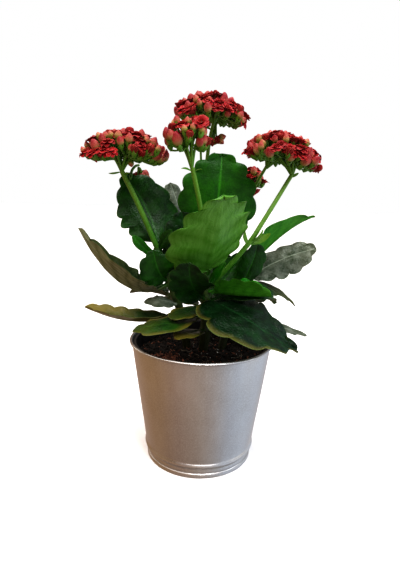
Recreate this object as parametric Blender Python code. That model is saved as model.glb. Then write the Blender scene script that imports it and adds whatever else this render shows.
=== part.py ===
"""A potted kalanchoe: a steel cover pot, a grower's pot of peat, and the plant.

The origin is on the pot's axis, at the height of its foot, with +Z up. The
front of the plant, where the largest leaf looks, is -Y. Tables are in
millimetres, and every mesh is built in metres.
"""

import math

import bpy
import bmesh
from mathutils import Vector

MM = 0.001
GAP = 0.3  # clearance between pieces that touch in the real object

# Steel cover pot
POT_HEIGHT = 111.0
RIM_RADIUS = 65.0
FOOT_RADIUS = 48.6
SHEET = 0.8
CURL_RADIUS = 1.2  # rolled rim
SEAM_HEIGHT = 3.8
SEAM_WIDTH = 2.2
SLOT_LOW, SLOT_HIGH = 1.8, 3.2  # groove in the foot seam that holds the base disc
BEAD_LOW, BEAD_HIGH, BEAD_DEPTH = 8.0, 14.4, 1.5
WALL_LOW_RADIUS, WALL_HIGH_RADIUS = 49.9, 63.3
POT_SIDES = 60

# Grower's pot and peat
GROWER_TOP = 108.6
GROWER_FLOOR = 3.4
GROWER_LIP_DEPTH = 5.0
GROWER_TOP_RADIUS = 60.2
GROWER_FOOT_RADIUS = 44.0
GROWER_WALL = 1.1
DRAIN_HOLES = 6
DRAIN_RING_RADIUS = 30.0
DRAIN_RADIUS = 4.0
SOIL_TOP = 97.0
SOIL_MOUND = 1.6
GROWER_SIDES = 48

# Leaves
LEAF_THICKNESS = 1.8
MARGIN_THICKNESS = 1.1
PETIOLE_SHARE = 0.14  # of the leaf's length
PETIOLE_HALF_WIDTH = 2.3
LOBE_DEPTH = 0.09
BLADE_END = 0.94 * math.pi  # the outline's angle at the blunt tip

# Shoots and stalks: route through these points, radius at the foot and at the top
SHOOTS = {
    "shoot_centre": (((2, -3, 99.6), (3, -6, 130), (3, -8, 158), (2, -9, 176)), 4.4, 3.2),
    "shoot_left": (((-13, 4, 99.6), (-20, 2, 135), (-33, -2, 170), (-41, -6, 193)), 4.0, 2.8),
    "shoot_back": (((5, 22, 99.6), (5, 28, 140), (4, 32, 180)), 4.2, 3.0),
    "shoot_right": (((19, 4, 99.6), (26, 7, 135), (31, 12, 165)), 3.8, 2.6),
}
STALKS = {
    "stalk_left": (((-41.6, -6.8, 195), (-56, -9, 228), (-70, -10, 256)), 2.4, 2.0),
    "stalk_left_low": (((-63, -7, 251.5), (-64, 4, 257), (-62.5, 13, 261.5), (-60.5, 20, 263)), 1.2, 1.0),
    "stalk_front": (((1.6, -9.6, 178), (-3, -18, 222), (-11, -24, 259)), 2.3, 1.9),
    "stalk_top": (((3.8, 32.6, 182), (-1, 36, 225), (1, 36, 277), (5, 32, 302)), 2.0, 1.5),
    "stalk_right": (((9, -9, 163), (36, -13, 197), (50, -9, 219), (73, 3, 257)), 2.3, 1.7),
    "stalk_right_back": (((11, 36, 178), (31, 45, 212), (44, 42, 243), (54, 26, 265)), 1.9, 1.3),
    "stalk_rear": (((9, 41, 172), (28, 56, 218), (42, 57, 244)), 1.7, 1.2),
}

# Flower heads: middle of the head, half sizes (x, y), height above, and the point
# where its stalk meets it
HEADS = {
    "flower_head_left": ((-67, -10, 276), (37, 32), 14, (-70, -10, 257)),
    "flower_head_left_low": ((-58, 29, 255), (9, 8), 6, (-60, 27, 249)),
    "flower_head_top": ((3, 27, 314), (34, 30), 14, (5, 31.5, 303)),
    "flower_head_front": ((-16, -27, 287), (19, 18), 11, (-11.5, -24.5, 260)),
    "flower_head_right": ((65, 4, 278), (34, 31), 15, (73.5, 3.5, 258)),
    "flower_head_rear": ((46, 57, 257), (12, 11), 12, (42.5, 57, 245)),
}

# Leaves: shoot that carries it, height of its node, middle and tip of the midrib,
# width, direction the upper face looks, fold at the midrib, bend to the margin, lobes,
# and how far it tapers to its tip
LEAVES = {
    "leaf_front_large": ("shoot_centre", 170, (7, -40, 198), (13, -67, 238), 80,
        (-0.48, 0.53, 0.66), 4, 14, 6, 0.05),
    "leaf_front_dark": ("shoot_centre", 150, (-8, -38, 166), (-11, -52, 187), 38,
        (-0.2, -0.9, 0.35), 4, 10, 5, 0),
    "leaf_front_bright": ("shoot_centre", 156, (28, -29, 158), (56, -36, 159), 38,
        (0.0, 0.15, 1.0), 54, -10, 5, 0.15),
    "leaf_front_right": ("shoot_centre", 149, (31, -38, 142), (79, -43, 115), 84,
        (0.3, -0.35, 0.88), 8, -16, 6, 0.55),
    "leaf_front_low": ("shoot_centre", 134, (-28, -42, 135), (-55, -47, 131), 32,
        (-0.1, -0.2, 0.97), 6, -14, 4, 0.2),
    "leaf_front_lowest": ("shoot_centre", 120, (-10, -37, 126), (-22, -50, 126), 22,
        (0.0, -0.2, 1.0), 10, -10, 3, 0.2),
    "leaf_front_short": ("shoot_centre", 143, (-14, -30, 141), (-25, -42, 139), 26,
        (0.0, -0.1, 1.0), 10, -10, 3, 0.2),
    "leaf_left_upright": ("shoot_left", 186, (-50, 8, 222), (-74, 14, 254), 60,
        (0.3, -0.9, 0.3), 6, -30, 6, 0.35),
    "leaf_left_long": ("shoot_left", 160, (-66, -18, 161), (-101, -30, 210), 48,
        (0.45, 0.0, 0.9), 48, -10, 6, 0.65),
    "leaf_left_small": ("shoot_left", 148, (-46, 6, 151), (-67, 8, 149), 28,
        (0.0, 0.0, 1.0), 35, -10, 4, 0.4),
    "leaf_left_low": ("shoot_left", 134, (-58, -17, 130), (-102, -16, 141), 36,
        (0.0, 0.0, 1.0), 28, -10, 6, 0.12),
    "leaf_left_dark": ("shoot_left", 142, (-34, -12, 147), (-51, -14, 146), 24,
        (0.0, -0.3, 0.95), 6, -20, 4, 0.3),
    "leaf_left_inner": ("shoot_left", 164, (-38, -14, 173), (-43, -15, 192), 34,
        (0.1, -0.95, 0.2), 6, -10, 5, 0.1),
    "leaf_left_centre": ("shoot_centre", 166, (-14, -4, 196), (-20, -2, 224), 40,
        (0.1, -0.98, 0.15), 6, -10, 5, 0.1),
    "leaf_left_behind": ("shoot_left", 150, (-24, 14, 172), (-31, 17, 198), 42,
        (0.1, -0.95, 0.2), 6, -14, 5, 0.1),
    "leaf_right_behind": ("shoot_right", 136, (22, 22, 158), (24, 24, 184), 34,
        (-0.1, -0.9, 0.3), 6, -14, 5, 0.1),
    "leaf_right_grey": ("shoot_right", 160, (68, 16, 180), (102, 14, 194), 42,
        (-0.15, -0.55, 0.82), 6, -26, 6, 0.05),
    "leaf_right_bright": ("shoot_right", 163, (68, 18, 202), (101, 22, 222), 38,
        (-0.3, 0.1, 0.95), 58, -10, 5, 0.75),
    "leaf_right_thin": ("shoot_right", 142, (56, 14, 157), (87, 15, 139), 42,
        (0.3, -0.1, 0.95), 4, -20, 5, 0.6),
    "leaf_right_low": ("shoot_right", 114, (60, 22, 117), (103, 26, 107), 32,
        (0.1, -0.1, 1.0), 4, -10, 5, 0.3),
    "leaf_right_inner": ("shoot_right", 150, (42, 0, 179), (46, -3, 198), 26,
        (0.3, -0.9, 0.2), 6, -16, 4, 0.2),
    "leaf_right_centre": ("shoot_centre", 152, (22, 6, 168), (33, 10, 188), 26,
        (0.3, -0.8, 0.5), 6, -12, 4, 0.2),
    "leaf_right_dark": ("shoot_centre", 147, (40, -20, 160), (60, -21, 156), 26,
        (0.1, -0.4, 0.9), 4, -20, 4, 0.1),
    "leaf_back_tall": ("shoot_back", 176, (11, 24, 232), (14, 27, 276), 78,
        (0.05, -0.98, 0.15), 8, -16, 6, 0.25),
    "leaf_back_grey": ("shoot_back", 168, (-20, 52, 212), (-36, 62, 250), 44,
        (0.3, -0.5, 0.8), 4, -16, 5, 0.2),
    "leaf_back_right": ("shoot_back", 160, (45, 45, 176), (74, 50, 172), 48,
        (0.0, -0.1, 1.0), 6, -22, 5, 0.3),
    "leaf_back_middle": ("shoot_back", 152, (0, 58, 176), (-5, 72, 202), 54,
        (0.0, -0.3, 1.0), 6, -16, 6, 0.1),
    "leaf_back_left": ("shoot_back", 142, (-36, 50, 160), (-70, 52, 152), 48,
        (0.0, 0.1, 1.0), 6, -20, 5, 0.4),
    "leaf_back_low": ("shoot_back", 124, (14, 56, 138), (20, 72, 130), 46,
        (0.0, 0.1, 1.0), 6, -20, 5, 0.2),
    "leaf_back_low_left": ("shoot_back", 128, (-26, 52, 136), (-44, 68, 128), 40,
        (0.0, 0.1, 1.0), 6, -20, 5, 0.3),
    "leaf_back_low_right": ("shoot_right", 130, (54, 38, 142), (74, 50, 132), 38,
        (0.0, 0.1, 1.0), 6, -20, 5, 0.4),
    "leaflet_left_a": ("shoot_left", 182, (-54, -14, 196), (-59, -16, 204), 9,
        (0.2, -0.9, 0.3), 6, -10, 3, 0.3),
    "leaflet_left_b": ("shoot_left", 190, (-33, -14, 201), (-27, -18, 209), 11,
        (-0.2, -0.9, 0.3), 6, -10, 3, 0.3),
    "leaflet_centre": ("shoot_centre", 160, (11, -19, 172), (18, -22, 184), 9,
        (-0.5, -0.8, 0.3), 25, -10, 3, 0.3),
}

GREEN_DARK = (0.028, 0.115, 0.022, 1)
GREEN_STALK = (0.22, 0.42, 0.07, 1)
GREEN_SHOOT = (0.12, 0.24, 0.05, 1)
RED = (0.55, 0.02, 0.02, 1)
STEEL = (0.56, 0.53, 0.50, 1)
BLACK = (0.012, 0.012, 0.013, 1)
PEAT = (0.035, 0.020, 0.012, 1)


def clear_scene():
    for obj in list(bpy.data.objects):
        bpy.data.objects.remove(obj, do_unlink=True)


def material(name, colour, roughness, metallic=0.0):
    mat = bpy.data.materials.new(name)
    mat.use_nodes = True
    shader = mat.node_tree.nodes["Principled BSDF"]
    shader.inputs["Base Color"].default_value = colour
    shader.inputs["Roughness"].default_value = roughness
    shader.inputs["Metallic"].default_value = metallic
    return mat


def add_object(name, bm, mat):
    """Make an object of a bmesh in millimetres."""
    bmesh.ops.scale(bm, vec=(MM, MM, MM), verts=bm.verts)
    bmesh.ops.recalc_face_normals(bm, faces=bm.faces)
    mesh = bpy.data.meshes.new(name)
    bm.to_mesh(mesh)
    bm.free()
    mesh.shade_smooth()
    mesh.set_sharp_from_angle(angle=math.radians(40))
    mesh.materials.append(mat)
    obj = bpy.data.objects.new(name, mesh)
    bpy.context.scene.collection.objects.link(obj)
    return obj


def bridge(bm, low, high):
    """Quads between two closed loops of the same length."""
    count = len(low)
    for i in range(count):
        j = (i + 1) % count
        bm.faces.new((low[i], low[j], high[j], high[i]))


def ring(bm, radius, height, sides):
    """A level circle of points about the pot's axis."""
    loop = []
    for k in range(sides):
        angle = 2 * math.pi * k / sides
        loop.append(bm.verts.new((radius * math.cos(angle), radius * math.sin(angle), height)))
    return loop


def turned(name, profile, sides, mat):
    """A closed ring turned from a closed (radius, height) profile."""
    bm = bmesh.new()
    loops = [ring(bm, radius, height, sides) for radius, height in profile]
    for i in range(len(loops)):
        bridge(bm, loops[i], loops[(i + 1) % len(loops)])
    return add_object(name, bm, mat)


def turned_solid(name, profile, sides, mat):
    """A solid of revolution whose profile starts and ends at flat discs."""
    bm = bmesh.new()
    loops = [ring(bm, radius, height, sides) for radius, height in profile]
    for low, high in zip(loops, loops[1:]):
        bridge(bm, low, high)
    bm.faces.new(loops[0])
    bm.faces.new(loops[-1])
    return add_object(name, bm, mat)


def arc(centre, radius, start, end, steps):
    """Points on a circle in the (radius, height) plane; angles in degrees."""
    points = []
    for k in range(steps + 1):
        angle = math.radians(start + (end - start) * k / steps)
        points.append((centre[0] + radius * math.cos(angle), centre[1] + radius * math.sin(angle)))
    return points


def wall_radius(height):
    """Outer radius of the pot's straight tapered wall."""
    share = (height - BEAD_HIGH) / (POT_HEIGHT - BEAD_HIGH)
    return WALL_LOW_RADIUS + (WALL_HIGH_RADIUS - WALL_LOW_RADIUS) * share


def bead(low_radius, high_radius, steps):
    """The pressed half-round bead above the foot."""
    points = []
    for k in range(1, steps):
        share = k / steps
        swell = BEAD_DEPTH * math.sin(math.pi * share) ** 0.7
        radius = low_radius + (high_radius - low_radius) * share + swell
        points.append((radius, BEAD_LOW + (BEAD_HIGH - BEAD_LOW) * share))
    return points


def build_pot(steel):
    """The wall with its rim and foot seam, and the base disc held in the seam."""
    seam = FOOT_RADIUS
    band = FOOT_RADIUS - 0.2
    curl = (RIM_RADIUS - CURL_RADIUS, POT_HEIGHT - CURL_RADIUS)
    outer = [(seam - 0.4, 0.0), (seam, 0.5), (seam, SEAM_HEIGHT - 0.4), (band - 0.4, SEAM_HEIGHT)]
    outer += [(band, BEAD_LOW)]
    outer += bead(band, WALL_LOW_RADIUS, 6)
    outer += [(WALL_LOW_RADIUS, BEAD_HIGH), (wall_radius(60), 60.0), (wall_radius(108), 108.0)]
    outer += arc(curl, CURL_RADIUS, -60, 165, 7)
    inner = [(wall_radius(108) - SHEET, 108.0), (wall_radius(60) - SHEET, 60.0)]
    inner += [(WALL_LOW_RADIUS - SHEET, BEAD_HIGH), (band - SHEET, BEAD_LOW)]
    inner += [(band - SHEET, SLOT_HIGH + 0.7), (seam - SEAM_WIDTH, SLOT_HIGH + 0.5)]
    inner += [(seam - SEAM_WIDTH, SLOT_HIGH), (seam - 1.0, SLOT_HIGH), (seam - 1.0, SLOT_LOW)]
    inner += [(seam - SEAM_WIDTH, SLOT_LOW), (seam - SEAM_WIDTH, 0.0)]
    turned("pot_wall", outer + inner, POT_SIDES, steel)
    disc = [(seam - 1.0 - GAP, SLOT_LOW + GAP), (seam - 1.0 - GAP, SLOT_HIGH - GAP)]
    turned_solid("pot_base", disc, POT_SIDES, steel)


def drain_cutter():
    """Upright pins, one for each drain hole in the grower's pot."""
    bm = bmesh.new()
    for k in range(DRAIN_HOLES):
        angle = 2 * math.pi * (k + 0.5) / DRAIN_HOLES
        made = bmesh.ops.create_cone(bm, cap_ends=True, segments=12, radius1=DRAIN_RADIUS,
                                     radius2=DRAIN_RADIUS, depth=6)
        shift = (DRAIN_RING_RADIUS * math.cos(angle), DRAIN_RING_RADIUS * math.sin(angle),
                 GROWER_FLOOR)
        bmesh.ops.translate(bm, vec=shift, verts=made["verts"])
    cutter = add_object("drain_cutter", bm, None)
    cutter.hide_render = True
    cutter.display_type = "WIRE"
    return cutter


def grower_radius(height):
    """Inner radius of the grower's pot."""
    share = (height - GROWER_FLOOR) / (GROWER_TOP - GROWER_FLOOR)
    outside = GROWER_FOOT_RADIUS + (GROWER_TOP_RADIUS - GROWER_FOOT_RADIUS) * share
    return outside - GROWER_WALL


def lip_radius(height):
    """Outer radius of the grower's pot's lip, just inside the steel wall."""
    return wall_radius(height) - SHEET - 2 * GAP


def build_grower_pot(plastic):
    """The thin black pot inside, with a rounded lip and drain holes."""
    lip_low = GROWER_TOP - GROWER_LIP_DEPTH
    floor = GROWER_FLOOR + GROWER_WALL
    profile = [(GROWER_FOOT_RADIUS, GROWER_FLOOR)]
    profile += [(grower_radius(lip_low) + GROWER_WALL, lip_low), (lip_radius(lip_low), lip_low + 0.8)]
    profile += [(lip_radius(GROWER_TOP), GROWER_TOP - 0.6), (lip_radius(GROWER_TOP) - 0.6, GROWER_TOP)]
    profile += [(grower_radius(GROWER_TOP), GROWER_TOP), (grower_radius(floor), floor)]
    pot = turned_solid("nursery_pot", profile, GROWER_SIDES, plastic)
    holes = pot.modifiers.new("drain holes", "BOOLEAN")
    holes.operation = "DIFFERENCE"
    holes.object = drain_cutter()


def soil_height(radius, angle):
    """Mounded top of the peat with shallow hollows."""
    edge = grower_radius(SOIL_TOP) - GAP
    mound = SOIL_MOUND * (1 - (radius / edge) ** 2)
    ripple = 0.4 * math.sin(3 * angle + 0.12 * radius) * min(1.0, (edge - radius) / 10)
    return SOIL_TOP + mound + ripple


def build_soil(peat):
    """The peat that fills the grower's pot up to a finger's width below the rim."""
    bm = bmesh.new()
    floor = GROWER_FLOOR + GROWER_WALL + GAP
    low = grower_radius(floor) - GAP
    edge = grower_radius(SOIL_TOP) - GAP
    sides = 30
    loops = []
    for radius, flat in ((low, True), (edge, False), (edge - 8, False), (edge - 24, False), (14, False)):
        loop = []
        for k in range(sides):
            angle = 2 * math.pi * k / sides
            height = floor if flat else soil_height(radius, angle)
            loop.append(bm.verts.new((radius * math.cos(angle), radius * math.sin(angle), height)))
        loops.append(loop)
    for lower, upper in zip(loops, loops[1:]):
        bridge(bm, lower, upper)
    bm.faces.new(loops[0])
    bm.faces.new(loops[-1])
    add_object("potting_soil", bm, peat)


def route_point(points, share):
    """A smooth curve through all the points, at a share from 0 to 1 of the way."""
    spans = len(points) - 1
    place = min(max(share, 0.0), 1.0) * spans
    index = min(int(place), spans - 1)
    t = place - index
    p1 = Vector(points[index])
    p2 = Vector(points[index + 1])
    p0 = Vector(points[index - 1]) if index else 2 * p1 - p2
    p3 = Vector(points[index + 2]) if index + 2 < len(points) else 2 * p2 - p1
    even = 2 * p1 + (p2 - p0) * t
    square = (2 * p0 - 5 * p1 + 4 * p2 - p3) * t * t
    cube = (3 * p1 - p0 - 3 * p2 + p3) * t * t * t
    return (even + square + cube) / 2


def tube(name, points, foot_radius, top_radius, rings, sides, mat):
    """A tapered round stem along a smooth route, closed at both ends."""
    bm = bmesh.new()
    loops = []
    for i in range(rings + 1):
        share = i / rings
        here = route_point(points, share)
        ahead = route_point(points, share + 0.02) - route_point(points, share - 0.02)
        along = ahead.normalized()
        side = along.cross(Vector((0, 1, 0))).normalized()
        other = along.cross(side)
        radius = foot_radius + (top_radius - foot_radius) * share
        loop = []
        for k in range(sides):
            angle = 2 * math.pi * k / sides
            offset = side * math.cos(angle) + other * math.sin(angle)
            loop.append(bm.verts.new(here + offset * radius))
        loops.append(loop)
    for low, high in zip(loops, loops[1:]):
        bridge(bm, low, high)
    bm.faces.new(loops[0])
    bm.faces.new(loops[-1])
    return add_object(name, bm, mat)


def shoot_at_height(name, height):
    """The point of a shoot's axis at a height, and its radius there."""
    points, foot_radius, top_radius = SHOOTS[name]
    low, high = 0.0, 1.0
    for _ in range(30):
        middle = (low + high) / 2
        if route_point(points, middle).z < height:
            low = middle
        else:
            high = middle
    return route_point(points, low), foot_radius + (top_radius - foot_radius) * low


class Leaf:
    """One leaf: a flat scalloped plan, bent along its midrib and across it."""

    def __init__(self, shoot, height, middle, tip, width, face, fold, bend, lobes, taper):
        axis, radius = shoot_at_height(shoot, height)
        out = Vector((middle[0] - axis.x, middle[1] - axis.y, 0)).normalized()
        self.base = axis + out * (radius + LEAF_THICKNESS + 3 * GAP)
        self.tip = Vector(tip)
        self.control = 2 * Vector(middle) - (self.base + self.tip) / 2
        self.half = width / 2
        self.face = Vector(face).normalized()
        self.fold = math.radians(fold)
        self.bend = math.radians(bend)
        self.lobes = lobes
        self.taper = taper

    def plan(self, angle, across):
        """Share along the midrib and distance from it, for a point of the blade."""
        lobe = 1 - LOBE_DEPTH * (1 - abs(math.sin(self.lobes * angle)))
        middle = (1 - math.cos(angle)) / 2
        margin = 0.5 + (middle - 0.5) * lobe
        share = middle + (margin - middle) * across ** 2
        narrowed = 1 - self.taper * middle ** 2
        half = max(self.half * math.sin(angle) * lobe * narrowed, PETIOLE_HALF_WIDTH)
        return PETIOLE_SHARE + (1 - PETIOLE_SHARE) * share, across * half

    def point(self, share, aside):
        """The place in space of a plan point, and the upper face's direction."""
        t = share
        spot = self.base * (1 - t) ** 2 + self.control * 2 * t * (1 - t) + self.tip * t * t
        along = (self.control - self.base) * (1 - t) + (self.tip - self.control) * t
        along.normalize()
        side = along.cross(self.face).normalized()
        up = side.cross(along)
        curve = self.bend / self.half
        reach = abs(aside)
        angle = self.fold + curve * reach
        lateral = (math.sin(angle) - math.sin(self.fold)) / curve
        rise = (math.cos(self.fold) - math.cos(angle)) / curve
        sign = 1 if aside >= 0 else -1
        normal = up * math.cos(angle) - side * (sign * math.sin(angle))
        return spot + side * (sign * lateral) + up * rise, normal

    def rows(self):
        """The blade's cross lines, from the petiole's foot to the tip."""
        columns = (-1, -0.5, 0, 0.5, 1)
        for share in (0.0, PETIOLE_SHARE * 0.6):
            yield [(share, v * PETIOLE_HALF_WIDTH, abs(v)) for v in columns]
        steps = 2 * self.lobes
        for k in range(1, steps + 1):
            angle = BLADE_END * k / steps
            yield [(*self.plan(angle, v), abs(v)) for v in columns]


def build_leaf(name, leaf, mat):
    """A closed solid: the upper face, the lower face and the margin between them."""
    bm = bmesh.new()
    upper = []
    lower = []
    for row in leaf.rows():
        top = []
        bottom = []
        for share, aside, out in row:
            spot, normal = leaf.point(share, aside)
            depth = LEAF_THICKNESS + (MARGIN_THICKNESS - LEAF_THICKNESS) * out
            top.append(bm.verts.new(spot + normal * depth / 2))
            bottom.append(bm.verts.new(spot - normal * depth / 2))
        upper.append(top)
        lower.append(bottom)
    last = len(upper) - 1
    width = len(upper[0]) - 1
    for i in range(last):
        for j in range(width):
            bm.faces.new((upper[i][j], upper[i][j + 1], upper[i + 1][j + 1], upper[i + 1][j]))
            bm.faces.new((lower[i][j], lower[i + 1][j], lower[i + 1][j + 1], lower[i][j + 1]))
        for j in (0, width):
            bm.faces.new((upper[i][j], upper[i + 1][j], lower[i + 1][j], lower[i][j]))
    for i in (0, last):
        for j in range(width):
            bm.faces.new((upper[i][j], upper[i][j + 1], lower[i][j + 1], lower[i][j]))
    return add_object(name, bm, mat)


def build_head(name, middle, halves, height, junction, mat):
    """A lumpy dome over a cone that narrows to its stalk: a flower cluster's outer shape."""
    bm = bmesh.new()
    sides = 14
    centre = Vector(middle)
    foot = Vector(junction)
    levels = ((0.14, -1.0), (0.74, -0.5), (1.0, -0.05), (0.93, 0.5), (0.66, 0.85), (0.3, 1.0))
    loops = []
    for level, (spread, rise) in enumerate(levels):
        if rise > 0:
            core = centre + Vector((0, 0, rise * height))
        else:
            core = centre.lerp(foot, -rise)
        loop = []
        for k in range(sides):
            angle = 2 * math.pi * (k + 0.5 * (level % 2)) / sides
            lump = 1 - 0.06 * (k % 2)
            x = halves[0] * spread * lump * math.cos(angle)
            y = halves[1] * spread * lump * math.sin(angle)
            loop.append(bm.verts.new(core + Vector((x, y, 0))))
        loops.append(loop)
    for low, high in zip(loops, loops[1:]):
        bridge(bm, low, high)
    bm.faces.new(loops[0])
    bm.faces.new(loops[-1])
    return add_object(name, bm, mat)


def build_plant():
    shoot = material("green shoot", GREEN_SHOOT, 0.5)
    stalk = material("flower stalk", GREEN_STALK, 0.45)
    blade = material("leaf", GREEN_DARK, 0.38)
    petals = material("flowers", RED, 0.55)
    for name, (points, foot_radius, top_radius) in SHOOTS.items():
        tube(name, points, foot_radius, top_radius, 8, 8, shoot)
    for name, (points, foot_radius, top_radius) in STALKS.items():
        tube(name, points, foot_radius, top_radius, 9, 6, stalk)
    for name, row in LEAVES.items():
        build_leaf(name, Leaf(*row), blade)
    for name, (middle, halves, height, junction) in HEADS.items():
        build_head(name, middle, halves, height, junction, petals)


def main():
    clear_scene()
    build_pot(material("steel", STEEL, 0.35, 1.0))
    build_grower_pot(material("black plastic", BLACK, 0.45))
    build_soil(material("peat", PEAT, 0.95))
    build_plant()


main()
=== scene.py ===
import math
import random

import bmesh
import bpy
import numpy as np
from mathutils import Matrix, Vector, noise


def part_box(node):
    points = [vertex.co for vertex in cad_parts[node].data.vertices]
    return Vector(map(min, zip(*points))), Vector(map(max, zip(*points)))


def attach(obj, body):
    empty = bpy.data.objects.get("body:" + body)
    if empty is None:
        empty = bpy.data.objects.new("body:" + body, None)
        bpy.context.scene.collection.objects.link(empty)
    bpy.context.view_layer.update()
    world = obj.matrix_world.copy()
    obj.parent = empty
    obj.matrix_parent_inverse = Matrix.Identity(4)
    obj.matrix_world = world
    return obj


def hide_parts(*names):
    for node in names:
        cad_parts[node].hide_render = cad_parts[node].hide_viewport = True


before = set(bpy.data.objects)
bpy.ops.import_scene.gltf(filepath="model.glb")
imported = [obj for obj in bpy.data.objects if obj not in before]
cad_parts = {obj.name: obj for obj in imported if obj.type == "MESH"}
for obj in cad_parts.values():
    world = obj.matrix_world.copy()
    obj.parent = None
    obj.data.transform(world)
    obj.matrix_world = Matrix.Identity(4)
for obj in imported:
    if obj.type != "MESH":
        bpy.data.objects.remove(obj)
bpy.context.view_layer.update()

MM = 0.001
BODY = "root"

# The holder in millimetres: the first four sizes come from the frame
POT_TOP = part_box("pot_wall")[1]
RIM_RADIUS = POT_TOP[0] / MM
POT_HEIGHT = POT_TOP[2] / MM
SOIL_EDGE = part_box("potting_soil")[1][0] / MM
PEAT_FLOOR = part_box("potting_soil")[0][2] / MM
SOIL_TOP, SOIL_MOUND = 97.0, 1.6
SOIL_ROWS, SOIL_SIDES = 46, 150
SOIL_FOOT_SHARE = 0.76  # foot radius over edge radius
SOIL_ROUGHNESS = ((1.1, 0.10, 3.0), (0.9, 0.35, 7.0), (0.5, 0.95, 9.0))  # depth, scale, layer
HEAP_HEIGHT, HEAP_REACH = 1.4, 7  # peat heaped at each shoot's foot
ROOTS, ROOT_POINTS, ROOT_STEP = 12, 14, 1.3
FOOT_RADIUS = 48.6
SHEET = 0.8
CURL_RADIUS = 1.2  # rolled rim
SEAM_HEIGHT = 3.8
SEAM_INSIDE = 46.4
SLOT_RADIUS, SLOT_LOW, SLOT_HIGH = 47.6, 1.8, 3.2  # groove that holds the base disc
BEAD_LOW, BEAD_HIGH, BEAD_DEPTH = 8.0, 14.4, 1.5
LAP_HEIGHT, LAP_HALF_ANGLE, LAP_SHARPNESS = 0.55, 0.035, 260  # the lapped seam up the wall
WALL_LOW_RADIUS, WALL_HIGH_RADIUS = 49.9, 63.3
GROWER_TOP = 108.6
GROWER_FLOOR = 3.4
GROWER_WALL = 1.1
GROWER_LIP_DEPTH = 5.0
GROWER_TOP_RADIUS, GROWER_FOOT_RADIUS = 60.2, 44.0
AXIS_HOLE = 0.05  # radius left open on the axis of a turned disc
POT_SIDES, BASE_SIDES, GROWER_SIDES = 180, 120, 144

# Shape of leaves and stems, in millimetres
LEAF_THICKNESS = 2.2
PETIOLE_SHARE = 0.14
PETIOLE_HALF_WIDTH = 2.4
LOBE_DEPTH = 0.14
BLADE_END = 0.985 * math.pi
VEIN_PAIRS = 7
PETIOLE_ROWS, BLADE_ROWS, LEAF_COLUMNS = 6, 78, 33
STEM_ROWS, STEM_SIDES = 60, 20
NODE_SWELL = 0.7
SHOOT_LEAD, STALK_LEAD = 3.0, 4.0  # how far a stem starts before its route

# Florets: how much their size varies, how long they are and how far up each part starts
FLORET_SIZES, BUD_GROWTH = (0.86, 1.12), (0.66, 1.08)
BUD_RADIUS, BUD_HEIGHT, BUD_SEAT = 3.7, 10.4, 3.6
TUBE_RADIUS, TUBE_HEIGHT, TUBE_SEAT = 1.9, 5.0, 1.6
OPEN_REACH, FLOWER_SEAT = 11.5, 4.0
GOLDEN_ANGLE = 2.39996
# Radius at the foot and at the top of a head's branches, and how far they sag
BRANCH, TWIG = (1.25, 0.95, -1.0), (0.75, 0.7, 1.2)

# The same routes and leaves as the CAD parts, in millimetres
SHOOTS = {
    "shoot_centre": (((2, -3, 99.6), (3, -6, 130), (3, -8, 158), (2, -9, 176)), 4.4, 3.2),
    "shoot_left": (((-13, 4, 99.6), (-20, 2, 135), (-33, -2, 170), (-41, -6, 193)), 4.0, 2.8),
    "shoot_back": (((5, 22, 99.6), (5, 28, 140), (4, 32, 180)), 4.2, 3.0),
    "shoot_right": (((19, 4, 99.6), (26, 7, 135), (31, 12, 165)), 3.8, 2.6),
}
STALKS = {
    "stalk_left": (((-41.6, -6.8, 195), (-56, -9, 228), (-70, -10, 256)), 2.4, 2.0),
    "stalk_left_low": (((-63, -7, 251.5), (-64, 4, 257), (-62.5, 13, 261.5), (-60.5, 20, 263)), 1.2, 1.0),
    "stalk_front": (((1.6, -9.6, 178), (-3, -18, 222), (-11, -24, 259)), 2.3, 1.9),
    "stalk_top": (((3.8, 32.6, 182), (-1, 36, 225), (1, 36, 277), (5, 32, 302)), 2.0, 1.5),
    "stalk_right": (((9, -9, 163), (36, -13, 197), (50, -9, 219), (73, 3, 257)), 2.3, 1.7),
    "stalk_right_back": (((11, 36, 178), (31, 45, 212), (44, 42, 243), (54, 26, 265)), 1.9, 1.3),
    "stalk_rear": (((9, 41, 172), (28, 56, 218), (42, 57, 244)), 1.7, 1.2),
}
# Middle of the head, half sizes (x, y), height above, where its stalks meet it, tilt of
# its top to the right in degrees, florets, and the share of them that are open
HEADS = {
    "flower_head_left": ((-67, -10, 276), (37, 32), 14, ((-70, -10, 257),), 0, 78, 0.5),
    "flower_head_left_low": ((-58, 29, 255), (9, 8), 6, ((-60.5, 20, 262),), 0, 5, 0.4),
    "flower_head_top": ((3, 27, 314), (34, 30), 14, ((5, 31.5, 303),), 4, 76, 0.6),
    "flower_head_front": ((-16, -27, 287), (19, 18), 11, ((-11.5, -24.5, 260),), 0, 24, 0.35),
    "flower_head_right": ((65, 4, 278), (34, 31), 15, ((73.5, 3.5, 258), (54.3, 25, 265.5)), 10, 78, 0.6),
    "flower_head_rear": ((46, 57, 257), (12, 11), 12, ((42.5, 57, 245),), 0, 14, 0.6),
}
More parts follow.
